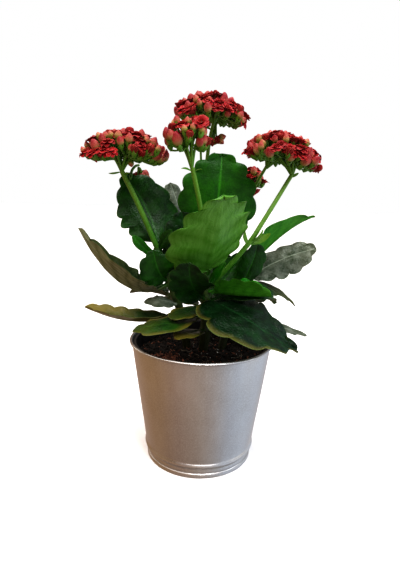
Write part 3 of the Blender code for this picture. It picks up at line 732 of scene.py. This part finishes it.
def build_grower_pot(plastic):
    """The thin black pot inside, closed but for a pinhole on its axis, with a rounded lip."""
    lip_low = GROWER_TOP - GROWER_LIP_DEPTH
    lip = wall_radius(GROWER_TOP) - SHEET - 0.6
    profile = [(AXIS_HOLE, GROWER_FLOOR), (GROWER_FOOT_RADIUS - 1, GROWER_FLOOR)]
    profile += [(GROWER_FOOT_RADIUS, GROWER_FLOOR + 1)]
    profile += [(grower_radius(h), h) for h in np.linspace(GROWER_FLOOR + 4, lip_low, 8)]
    profile += [(lip - 0.5, lip_low + 0.4), (lip - 0.3, lip_low + 1.0)]
    profile += arc((lip - 0.7, GROWER_TOP - 0.7), 0.7, 0, 90, 6)
    inner = grower_radius(GROWER_TOP) - GROWER_WALL
    profile += arc((inner + 0.6, GROWER_TOP - 0.6), 0.6, 90, 180, 6)
    floor = GROWER_FLOOR + GROWER_WALL
    profile += [(grower_radius(h) - GROWER_WALL, h) for h in (104.0, 60.0, floor)] + [(AXIS_HOLE, floor)]
    build_turned("nursery_pot", "shell", profile, GROWER_SIDES, plastic)


# ------- the peat

def soil_height(x, y):
    """Height of the rough peat at a place: mounded, and heaped at the shoots' feet."""
    reach = min(1.0, math.hypot(x, y) / SOIL_EDGE)
    height = SOIL_MOUND * (1 - reach ** 2)
    for foot in (route[0][0] for route in SHOOTS.values()):
        near = math.hypot(x - foot[0], y - foot[1])
        height += HEAP_HEIGHT * math.exp(-(near / HEAP_REACH) ** 2)
    height += SOIL_TOP
    for depth, scale, layer in SOIL_ROUGHNESS:
        height += depth * noise.noise(Vector((x * scale, y * scale, layer)))
    return height


def chunk(rng, size, stretch):
    """A small broken lump: four rings of five uneven corners, tipped over at random."""
    rings = []
    for level, spread in ((-0.9, 0.45), (-0.35, 1.0), (0.35, 0.95), (0.9, 0.4)):
        ring = []
        for k in range(5):
            angle = 2 * math.pi * (k + 0.5 * rng.random()) / 5
            reach = size * spread * (0.75 + 0.5 * rng.random())
            ring.append((reach * math.cos(angle), reach * math.sin(angle), level * size * stretch))
        rings.append(ring)
    points, faces = loft(rings)
    spin, tip = rng.uniform(0, math.tau), rng.uniform(0.9, 2.2)
    turn = Matrix.Rotation(spin, 3, "Z") @ Matrix.Rotation(tip, 3, "X")
    return points @ np.array(turn).T, faces


def scatter(name, mat, spots, sizes, stretch, seed):
    """Lumps of one kind lying on the peat at each spot (x, y, height above it)."""
    rng = random.Random(seed)
    shape = Shape()
    for x, y, lift in spots:
        points, faces = chunk(rng, rng.uniform(*sizes), stretch * rng.uniform(0.7, 1.3))
        spot = np.array((x, y, soil_height(x, y) + 0.3 + lift))
        shape.add(points + spot, faces, tone=rng.random())
    place(shape.build(name, mat, 30), None)


def ring_spots(count, seed):
    """Places spread evenly over the peat."""
    rng = random.Random(seed)
    for _ in range(count):
        reach = (SOIL_EDGE - 1.5) * math.sqrt(rng.random())
        angle = rng.uniform(0, math.tau)
        yield reach * math.cos(angle), reach * math.sin(angle), 0.0


def clump_spots(middle, spread, count, seed):
    """Places in a low heap."""
    rng = random.Random(seed)
    for _ in range(count):
        x, y = rng.gauss(0, 0.45), rng.gauss(0, 0.45)
        lift = 3.2 * max(0.0, 1 - x * x - y * y) * rng.random()
        x, y = middle[0] + spread * x, middle[1] + spread * y
        if math.hypot(x, y) < SOIL_EDGE - 1.5:
            yield x, y, lift


def build_threads(mat):
    """Fine pale roots lying in loops on the peat."""
    rng = random.Random(5)
    shape = Shape()
    for _ in range(ROOTS):
        reach, angle = rng.uniform(10, 48), rng.uniform(0, math.tau)
        x, y = reach * math.cos(angle), reach * math.sin(angle)
        heading, turn = rng.uniform(0, math.tau), rng.uniform(-0.35, 0.35)
        path = []
        for k in range(ROOT_POINTS):
            path.append((x, y, soil_height(x, y) + 0.5 + 0.5 * math.sin(k)))
            heading += turn + rng.uniform(-0.2, 0.2)
            x, y = x + ROOT_STEP * math.cos(heading), y + ROOT_STEP * math.sin(heading)
            if math.hypot(x, y) > SOIL_EDGE - 2:
                break
        if len(path) > 4:
            points, faces = loft(tube_rings(np.array(path), np.linspace(0.22, 0.14, len(path)), 5))
            shape.add(points, faces, tone=rng.random())
    place(shape.build("root_threads", mat), None)


def build_soil(peat, bark, perlite, root):
    """The peat, with crumbs, bark, perlite and roots lying on it."""
    around = 2 * math.pi * np.arange(SOIL_SIDES) / SOIL_SIDES
    foot = SOIL_EDGE * SOIL_FOOT_SHARE
    rings = [[(foot * math.cos(a), foot * math.sin(a), PEAT_FLOOR) for a in around]]
    for k in range(SOIL_ROWS):
        reach = SOIL_EDGE * (1 - k / SOIL_ROWS)
        places = [(reach * math.cos(a), reach * math.sin(a)) for a in around]
        rings.append([(x, y, soil_height(x, y)) for x, y in places])
    shape = Shape()
    points, faces = loft(rings)
    tones = [0.5 + 0.5 * noise.noise(Vector(p) * 0.3) for p in points]
    shape.add(points, faces, tone=np.array(tones))
    place(shape.build("peat_surface", peat, 180), "potting_soil")
    scatter("peat_crumbs", peat, ring_spots(760, 11), (0.6, 1.7), 1.0, 12)
    scatter("bark_fibres", bark, ring_spots(220, 13), (0.4, 1.0), 2.2, 14)
    scatter("bark_clump", bark, clump_spots((-33, -29), 17, 330, 15), (0.5, 1.3), 1.7, 16)
    scatter("perlite_beads", perlite, ring_spots(46, 17), (0.4, 0.9), 0.9, 18)
    build_threads(root)


# ------- the plant

class Leaf:
    """One leaf: a scalloped plan, bent along its midrib and across it."""

    def __init__(self, shoot, height, middle, tip, width, face, fold, bend, lobes, taper):
        axis, radius = shoot_at_height(shoot, height)
        out = unit((middle[0] - axis[0], middle[1] - axis[1], 0))
        self.base = axis + out * radius * 0.6
        self.tip = np.array(tip, float)
        self.control = 2 * np.array(middle, float) - (self.base + self.tip) / 2
        self.half = width / 2
        self.face = unit(face)
        self.fold = math.radians(fold)
        self.bend = math.radians(bend)
        self.lobes = lobes
        self.taper = taper

    def surface(self, share, aside):
        """Places in space of plan points, and the upper face's directions."""
        t = share[..., None]
        spot = self.base * (1 - t) ** 2 + self.control * 2 * t * (1 - t) + self.tip * t * t
        along = (self.control - self.base) * (1 - t) + (self.tip - self.control) * t
        along = along / np.linalg.norm(along, axis=-1, keepdims=True)
        side = np.cross(along, self.face)
        side /= np.linalg.norm(side, axis=-1, keepdims=True)
        up = np.cross(side, along)
        curve = self.bend / self.half
        angle = (self.fold + curve * np.abs(aside))[..., None]
        lateral = (np.sin(angle) - math.sin(self.fold)) / curve
        rise = (math.cos(self.fold) - np.cos(angle)) / curve
        sign = np.where(aside >= 0, 1.0, -1.0)[..., None]
        normal = up * np.cos(angle) - side * (sign * np.sin(angle))
        return spot + side * (sign * lateral) + up * rise, normal

    def plan(self, across, seed):
        """Shares along, distances aside and outline angles, one row for each cross line."""
        petiole = np.linspace(0, 1, PETIOLE_ROWS, endpoint=False)
        blade = np.linspace(0, BLADE_END, BLADE_ROWS)
        angle = np.concatenate((np.zeros(PETIOLE_ROWS), blade))[:, None]
        start = np.concatenate((petiole, np.ones(BLADE_ROWS)))[:, None] * PETIOLE_SHARE
        grown = np.clip((angle - 0.5) / 0.5, 0, 1)
        uneven = 1 + 0.35 * np.sin(3.1 * angle + seed)
        scallop = np.abs(np.sin(self.lobes * angle + 0.35 * np.sin(angle * 2 + seed))) ** 0.75
        lobe = 1 - LOBE_DEPTH * uneven * grown * (1 - scallop)
        middle = (1 - np.cos(angle)) / 2
        margin = 0.5 + (middle - 0.5) * lobe
        share = start + (1 - PETIOLE_SHARE) * (middle + (margin - middle) * across ** 2)
        stalk = PETIOLE_HALF_WIDTH * (1 - angle / math.pi)
        narrowed = 1 - self.taper * middle ** 2
        half = np.sqrt((self.half * np.sin(angle) * lobe * narrowed) ** 2 + stalk ** 2)
        return share, across * half, angle


def shoot_at_height(name, height):
    """The point of a shoot's axis at a height, and its radius there."""
    points, foot_radius, top_radius = SHOOTS[name]
    shares = np.linspace(0, 1, 200)
    path = route_points(points, shares)
    pick = int(np.argmin(np.abs(path[:, 2] - height)))
    return path[pick], foot_radius + (top_radius - foot_radius) * shares[pick]


def vein_lines(share, across, seed):
    """1 between a leaf's side veins and 0 on them; the veins fork towards the margin."""
    reach = np.abs(across)
    slant = share - 0.20 * reach ** 0.8 + 0.012 * np.sin(9 * reach + seed)
    main = np.abs(np.sin(math.pi * VEIN_PAIRS * slant + 0.4 * (across > 0)))
    fork = np.abs(np.sin(math.pi * (2 * VEIN_PAIRS * (slant - 0.10 * reach) + 0.25)))
    fork = 1 - (1 - fork) * np.clip((reach - 0.35) * 3, 0, 1) * 0.6
    return np.minimum(main ** 0.45, fork ** 0.6)


def build_leaf(name, leaf, kind, seed, mat):
    """A fine closed leaf: ring after ring round the blade, from the petiole to the tip."""
    across = -np.cos(np.linspace(0, math.pi, LEAF_COLUMNS))
    share, aside, angle = leaf.plan(across, seed)
    spot, normal = leaf.surface(share, aside)
    reach = np.abs(across)
    inner = np.clip(1 - reach ** 6, 0, 1) * np.clip(share * 4, 0, 1)
    size = leaf.half / 30
    thick = LEAF_THICKNESS * (0.55 + 0.45 * min(size, 1)) * (1 - 0.35 * share)
    depth = thick * np.sqrt(np.clip(1 - reach ** 4, 0, 1)) * (1 - 0.35 * reach)
    ripple = 0.8 * size * reach ** 2 * np.sin(2 * leaf.lobes * angle + 0.7 * np.sin(angle * 2 + seed))
    swell = 1.0 * size * np.sin(share * 6.3 + seed) * np.sin(across * 3.1 + seed * 1.7)
    pucker = np.sin(share * 31 + 5 * across + seed) * np.sin(across * 11 - 7 * share + seed * 2)
    vein = vein_lines(share, across, seed)
    wrinkle = kind[-1]
    relief = ((0.10 + 0.40 * wrinkle) * size * (vein - 1) + 0.35 * wrinkle * size * pucker) * inner
    groove = -0.45 * np.exp(-(aside / 1.1) ** 2)
    ridge = 0.9 * np.exp(-(aside / 1.4) ** 2) * (1 - share)
    middle = spot + normal * (ripple + swell)[..., None]
    upper = middle + normal * (depth / 2 + (relief + groove) * (depth > 0.3))[..., None]
    lower = middle - normal * (depth / 2 + (ridge - relief * 0.7) * (depth > 0.3))[..., None]
    rings = np.concatenate((upper, lower[:, -2:0:-1]), 1)
    rows, count = share.shape
    both = np.concatenate((across, across[-2:0:-1]))
    side = np.concatenate(([0.5], np.zeros(count - 2), [0.5], np.ones(count - 2)))
    around = [np.concatenate((grid, grid[:, -2:0:-1]), 1) for grid in (share, vein)]
    shape = Shape()
    points, faces = loft(rings)
    shape.add(points, faces, along=capped(around[0]), vein=capped(around[1]),
              across=capped(np.tile(both, (rows, 1))), under=capped(np.tile(side, (rows, 1))))
    place(shape.build(name + "_blade", mat, 70), name)


def build_stem(name, route, lead, mat, nodes=(), replace=True):
    """A tapered stem that starts a short way before its route, and swells at its nodes."""
    points, foot_radius, top_radius = route
    shares = np.linspace(0, 1, STEM_ROWS)
    path = route_points(points, shares)
    radii = foot_radius + (top_radius - foot_radius) * shares
    for height in nodes:
        radii = radii + NODE_SWELL * np.exp(-((path[:, 2] - height) / 2.2) ** 2)
    path = np.concatenate(([path[0] - unit(path[1] - path[0]) * lead], path))
    radii = np.concatenate(([radii[0] * 0.8], radii))
    shares = np.concatenate(([0.0], shares))
    shape = Shape()
    points, faces = loft(tube_rings(path, radii, STEM_SIDES))
    shape.add(points, faces, along=capped(np.repeat(shares[:, None], STEM_SIDES, 1)))
    place(shape.build(name + "_skin", mat), name if replace else None)


# ------- the flowers

def petal(length, width, tilt, curl, pointed=0.0):
    """A thin cupped petal that starts at the origin and leans out along +X by its tilt."""
    shares = np.array((0.0, 0.2, 0.42, 0.62, 0.8, 0.92, 0.985))
    angles = 2 * math.pi * np.arange(6) / 6
    t = shares[:, None]
    bend = tilt * (0.35 + 0.65 * t) + curl * t * t
    rounded = np.sqrt(np.clip(1 - (np.clip(t - 0.6, 0, 1) / 0.4) ** 2, 0.01, 1))
    claw = 0.34 + 0.66 * np.clip(t / 0.55, 0, 1) ** 0.8
    half = width / 2 * claw * rounded * (1 - pointed * t * t)
    aside = half * np.cos(angles)
    cup = 0.22 * (aside / (width / 2)) ** 2 * width / 2
    lift = cup + 0.20 * np.sin(angles) * (1 - 0.4 * t)
    out = length * t * np.sin(bend) + 0.4 - np.cos(bend) * lift
    up = length * t * np.cos(bend) + np.sin(bend) * lift
    rings = np.stack((out, aside, up), -1)
    below = np.broadcast_to((np.sin(angles) < 0.1).astype(float), half.shape[:1] + angles.shape)
    points, faces = loft(rings)
    return points, faces, capped(np.repeat(t, 6, 1)), capped(below)


def rosette(seed, tiers, curl):
    """A double flower on the origin, from its tiers of petals."""
    rng = random.Random(seed)
    shape = Shape()
    for tier, (number, lean, length, width) in enumerate(tiers):
        for k in range(number):
            turn = 2 * math.pi * (k + 0.5 * (tier % 2) + 0.14 * rng.uniform(-1, 1)) / number
            tilt = math.radians(lean * rng.uniform(0.85, 1.12))
            roll = math.radians(curl * (1 - tier / len(tiers)) + rng.uniform(-14, 14))
            scales = rng.uniform(0.9, 1.1), rng.uniform(0.92, 1.1)
            points, faces, along, under = petal(length * scales[0], width * scales[1], tilt, roll)
            spin = np.array(Matrix.Rotation(turn, 3, "Z"))
            shape.add(points @ spin.T, faces, along=along, under=under)
    return shape.joined()


def bud(ribs, point):
    """A closed bud one unit high and two wide, with faint twisted folds, on the origin."""
    shares = 0.02 + 0.965 * np.linspace(0, 1, 12)
    angles = 2 * math.pi * np.arange(14) / 14
    t = shares[:, None]
    radius = np.sin(math.pi * t ** 0.9) ** (0.60 + point * t)
    fold = 1 + 0.06 * np.cos(ribs * angles + 3.0 * t) * np.clip(t * 2, 0, 1)
    rings = np.stack((radius * fold * np.cos(angles), radius * fold * np.sin(angles),
                      np.broadcast_to(t, fold.shape)), -1)
    points, faces = loft(rings)
    return points, faces, capped(np.broadcast_to(t, fold.shape))


def calyx():
    """A green cup with four pointed sepals, open at the top, on the origin."""
    count = 24
    angles = 2 * math.pi * np.arange(count) / count
    point = np.clip(1 - np.abs((2 * angles / math.pi) % 1 - 0.5) * 2.5, 0, 1)
    rings, heights = [], []
    outside = [(t, 0) for t in (0.0, 0.15, 0.35, 0.6, 0.85, 1.0)]
    for t, inner in outside + [(t, 1) for t in (0.97, 0.6, 0.35)]:
        rise = 3.2 * min(t, 0.5) / 0.5 + 4.4 * max(t - 0.5, 0) / 0.5 * (0.1 + 0.9 * point)
        radius = 0.75 + 1.55 * math.sin(min(1.0, t * 1.5) * math.pi / 2) - 0.35 * inner
        radius += 0.25 * max(t - 0.5, 0)
        flat = radius * np.cos(angles), radius * np.sin(angles)
        rings.append(np.stack((*flat, rise * np.ones(count)), -1))
        heights.append([t] * count)
    points, faces = loft(rings)
    return points, faces, capped(heights)


def aim(direction, spin):
    """A rotation that turns +Z to a direction, after a spin about it."""
    turn = Vector(direction).to_track_quat("Z", "Y").to_matrix() @ Matrix.Rotation(spin, 3, "Z")
    return np.array(turn)


class Head:
    """One flat-topped cluster: florets on a dome, carried by a fan of branches."""

    def __init__(self, name, middle, halves, height, junctions, tilt, count, open_share, seed):
        self.name = name
        self.middle = np.array(middle, float)
        self.halves = halves
        self.height = height
        self.junctions = [np.array(spot, float) for spot in junctions]
        self.tilt = math.tan(math.radians(tilt))
        self.count = count
        self.open_share = open_share
        self.rng = random.Random(seed)
        self.petals, self.buds, self.greens = Shape(), Shape(), Shape()

    def dome(self, reach, angle, drop):
        """A place on the head's dome, and the way its floret faces."""
        wide, deep = self.halves
        across = np.array((wide * reach * math.cos(angle), deep * reach * math.sin(angle), 0))
        rise = self.height * (1.0 - 1.25 * reach ** 2.6) - across[0] * self.tilt - drop
        spot = self.middle + across + (0, 0, rise)
        root = self.middle * 0.5 + np.mean(self.junctions, 0) * 0.5 - (0, 0, 24)
        lean = unit(spot - root) + (0, 0, 0.35 - 0.02 * drop)
        return spot, unit(lean)

    def florets(self):
        """Tip, direction, and how far open each floret is."""
        rng = self.rng
        for i in range(self.count):
            reach = min(0.97, math.sqrt((i + 0.5) / self.count) + rng.uniform(-0.03, 0.03))
            angle = i * GOLDEN_ANGLE + rng.uniform(-0.12, 0.12)
            spot, lean = self.dome(reach, angle, rng.uniform(-1.5, 2.0))
            lean = unit(lean + [rng.uniform(-0.14, 0.14) for _ in range(3)])
            opened = rng.random() < self.open_share
            yield spot, lean, rng.choice((0.5, 0.75, 1.0, 1.0)) if opened else 0.0
        if self.count > 20:  # a large head has more of them under its rim
            for i in range(self.count // 6):
                angle = i * GOLDEN_ANGLE * 1.7 + rng.uniform(-0.2, 0.2)
                spot, lean = self.dome(rng.uniform(0.78, 0.95), angle, rng.uniform(3.5, 7.0))
                yield spot, unit(lean - (0, 0, 0.15)), rng.choice((0.0, 0.0, 0.5))

    def add_floret(self, spot, lean, opened):
        """A calyx with a closed bud, a half-open or an open double flower on it."""
        rng = self.rng
        size = rng.uniform(*FLORET_SIZES)
        full = rng.uniform(*BUD_GROWTH)
        turn = aim(lean, rng.uniform(0, math.tau))
        reach = OPEN_REACH if opened else BUD_SEAT + BUD_HEIGHT * full
        foot = np.array(spot, float) - lean * reach * size
        points, faces, heights = CALYX
        wide = np.array((0.75 + 0.3 * full, 0.75 + 0.3 * full, 1.0)) * size
        self.greens.add(points * wide @ turn.T + foot, faces, along=0.55 + 0.45 * heights)
        tone = rng.random()
        if opened:
            points, faces, values = rng.choice(FLOWERS[opened])
            points = points * size @ turn.T + foot + lean * FLOWER_SEAT * size
            self.petals.add(points, faces, **values, tone=tone)
            points, faces, heights = BUDS[0]
            scale = np.array((TUBE_RADIUS, TUBE_RADIUS, TUBE_HEIGHT)) * size
            points = points * scale @ turn.T + foot + lean * TUBE_SEAT
            self.buds.add(points, faces, along=heights * 0.3, tone=tone)
        else:
            points, faces, heights = rng.choice(BUDS)
            scale = np.array((BUD_RADIUS * full, BUD_RADIUS * full, BUD_HEIGHT * full)) * size
            points = points * scale @ turn.T + foot + lean * BUD_SEAT * size
            self.buds.add(points, faces, along=heights, tone=0.6 * tone + 0.9 * (full - BUD_GROWTH[0]))
        return foot

    def add_branch(self, start, end, thick, thin, sag):
        """A thin green branch that sags in its middle."""
        middle = (np.array(start) + np.array(end)) / 2 - (0, 0, sag)
        path = route_points((start, middle, end), np.linspace(0, 1, 7))
        points, faces = loft(tube_rings(path, np.linspace(thick, thin, 7), 8))
        self.greens.add(points, faces, along=0.6)

    def forks(self, junction):
        """Where the main branches from one junction divide."""
        number = 4 if self.count < 16 else 8
        found = []
        for k in range(number):
            angle = 2 * math.pi * k / number + 0.4
            reach = 0.1 if k == 0 else 0.5
            spot, _ = self.dome(reach, angle, 0.0)
            found.append(junction + (spot - (0, 0, 8) - junction) * 0.52)
        return found

    def build(self, petals, buds, greens, strays):
        """Grow the branches and florets, and make the head's three pieces."""
        forks = [self.forks(junction) for junction in self.junctions]
        for junction, ends in zip(self.junctions, forks):
            for end in ends:
                self.add_branch(junction - (0, 0, 1.5), end, *BRANCH)
        for spot, lean, opened in [*self.florets(), *strays]:
            foot = self.add_floret(spot, lean, opened)
            number = min(range(len(forks)), key=lambda k: np.linalg.norm(self.junctions[k] - foot))
            near = min(forks[number], key=lambda fork: np.linalg.norm(fork - foot))
            self.add_branch(near, foot + lean * 0.6, *TWIG)
        place(self.buds.build(self.name + "_buds", buds), self.name)
        place(self.petals.build(self.name + "_petals", petals), None)
        place(self.greens.build(self.name + "_branches", greens), None)


def build_bracts(mat):
    """The small leaflets at the stalks' joints."""
    shape = Shape()
    for number, (foot, direction, length, width) in enumerate(BRACTS):
        points, faces, along, _ = petal(length, width, 0.0, 0.35, 0.55)
        turn = aim(unit(direction), 1.3 * number)
        shape.add(points @ turn.T + foot, faces, along=0.4 + 0.6 * along)
    place(shape.build("stalk_leaflets", mat), None)


def build_plant():
    """Shoots and stalks, then the leaves, the flower heads and the small leaflets."""
    bark = stem_material("shoot skin", (0.035, 0.040, 0.012), (0.05, 0.14, 0.015), (0.06, 0.06, 0.02))
    stalk = stem_material("stalk skin", (0.060, 0.240, 0.008), (0.17, 0.34, 0.03), (0.22, 0.44, 0.07))
    nodes = {}
    for row in LEAVES.values():
        nodes.setdefault(row[0], []).append(row[1])
    for name, route in SHOOTS.items():
        build_stem(name, route, SHOOT_LEAD, bark, nodes.get(name, ()))
    for name, route in STALKS.items():
        build_stem(name, route, STALK_LEAD, stalk)
    skins = {name: leaf_material("leaf " + name, kind) for name, kind in LEAF_KINDS.items()}
    for number, (name, row) in enumerate(LEAVES.items()):
        kind = row[-1]
        build_leaf(name, Leaf(*row[:-1]), LEAF_KINDS[kind], 1.0 + number * 1.37, skins[kind])
    petals, buds = petal_material(), bud_material()
    for number, (name, row) in enumerate(HEADS.items()):
        strays = [(spot, unit(lean), opened) for spot, lean, opened in STRAYS.get(name, ())]
        Head(name, *row, seed=20 + number).build(petals, buds, stalk, strays)
    build_stem("side_stalk", SIDE_STALK, STALK_LEAD, stalk, replace=False)
    build_bracts(stalk)


# Kinds of flower by how far they are open, kinds of bud, and the one calyx
FLOWERS = {
    0.5: [rosette(seed, HALF_TIERS, -30) for seed in (1, 2, 3)],
    0.75: [rosette(seed, HALF_TIERS, 14) for seed in (4, 5, 6)],
    1.0: [rosette(seed, OPEN_TIERS, 12) for seed in (7, 8, 9)],
}
BUDS = [bud(4, 0.0), bud(5, 0.25)]
CALYX = calyx()


# ------- light and view

def add_light(target, name, spot, size, power, colour):
    """A rectangular lamp turned to a target; the camera doesn't see it."""
    data = bpy.data.lights.new(name, "AREA")
    data.shape = "RECTANGLE"
    data.size, data.size_y = size
    data.energy = power
    data.color = colour
    light = bpy.data.objects.new(name, data)
    light.location = spot
    light.rotation_euler = (Vector(target) - Vector(spot)).to_track_quat("-Z", "Y").to_euler()
    light.visible_camera = False
    bpy.context.scene.collection.objects.link(light)
    return light


def room_ramp(n, direction, axis, stops):
    """A colour that changes across the room, from one side of an axis to the other."""
    spread = n.new("ShaderNodeMapRange")
    spread.inputs["From Min"].default_value = -1
    n.link(direction.outputs[axis], spread.inputs["Value"])
    band = n.new("ShaderNodeValToRGB")
    elements = band.color_ramp.elements
    for spot, colour in stops:
        elements.new(spot).color = (*colour, 1)
    elements.remove(elements[0])
    elements.remove(elements[-1])
    n.link(spread.outputs[0], band.inputs["Fac"])
    return band.outputs["Color"]


def build_world():
    """A dim room, warm on the left and cool on the right, that the camera sees as white."""
    n = Nodes("pale studio", bpy.data.worlds, "Background")
    direction = n.new("ShaderNodeSeparateXYZ")
    n.link(n.new("ShaderNodeTexCoord").outputs["Generated"], direction.inputs[0])
    sides = room_ramp(n, direction, "X", ROOM_SIDES)
    levels = room_ramp(n, direction, "Z", [(spot, (level, level, level)) for spot, level in ROOM_LEVELS])
    room = n.mix(1, sides, levels, "MULTIPLY")
    seen = n.new("ShaderNodeLightPath").outputs["Is Camera Ray"]
    bpy.context.scene.world = n.finish(Color=n.mix(seen, room, (1, 1, 1)))


def build_studio():
    """The room, the pale floor, the wide sun, the soft lamps and the tone of the view."""
    scene = bpy.context.scene
    build_world()
    n = Nodes("pale floor")
    pale = n.finish(Base_Color=(0.93, 0.93, 0.93, 1), Roughness=0.9, Specular_IOR_Level=0.0)
    shape = Shape()
    corners = ((-1, -1, 0), (1, -1, 0), (1, 1, 0), (-1, 1, 0))
    shape.add(FLOOR_REACH * np.array(corners), [(0, 1, 2, 3)])
    board = shape.build("floor", pale)
    board.visible_glossy = False
    board.visible_diffuse = False
    sun = bpy.data.lights.new("sky_sun", "SUN")
    sun.energy = SUN_POWER
    sun.angle = math.radians(SUN_ANGLE)
    sky = bpy.data.objects.new("sky_sun", sun)
    sky.rotation_euler = Vector(SUN_FROM).to_track_quat("Z", "Y").to_euler()
    scene.collection.objects.link(sky)
    for lamp in LAMPS:
        add_light(LAMP_TARGET, *lamp)
    # The low strip lights the steel wall alone, so that its bead has a bright band
    strip = add_light(STRIP_TARGET, *STRIP_LAMP)
    lit = bpy.data.collections.new("lit by the strip")
    lit.objects.link(bpy.data.objects["pot_wall_sheet"])
    strip.light_linking.receiver_collection = lit
    scene.view_settings.view_transform = "Standard"
    scene.view_settings.gamma = VIEW_GAMMA


def build_camera():
    """The camera in front, a little above the plant and tipped down."""
    data = bpy.data.cameras.new("camera")
    data.sensor_width = 36
    data.lens = CAMERA_LENS
    data.sensor_fit = "AUTO"
    camera = bpy.data.objects.new("camera", data)
    turn = Matrix.Rotation(math.radians(CAMERA_TURN), 4, "Z")
    turn = turn @ Matrix.Rotation(math.radians(90 - CAMERA_DOWN), 4, "X")
    turn = turn @ Matrix.Rotation(math.radians(CAMERA_ROLL), 4, "Z")
    camera.matrix_world = Matrix.Translation(CAMERA_SPOT) @ turn
    bpy.context.scene.collection.objects.link(camera)
    bpy.context.scene.camera = camera


def main():
    """Build the holder, the plant, and then the room, lamps and camera."""
    build_pot(steel_material())
    build_grower_pot(plastic_material())
    build_soil(crumb_material("peat", (0.006, 0.004, 0.003), (0.035, 0.022, 0.014), 0.95, 700),
               crumb_material("bark", (0.05, 0.014, 0.008), (0.42, 0.17, 0.10), 0.85, 500),
               crumb_material("perlite", (0.45, 0.44, 0.41), (0.85, 0.84, 0.81), 0.8, 600),
               crumb_material("root", (0.30, 0.24, 0.17), (0.50, 0.43, 0.33), 0.7, 400))
    build_plant()
    build_studio()
    build_camera()


main()
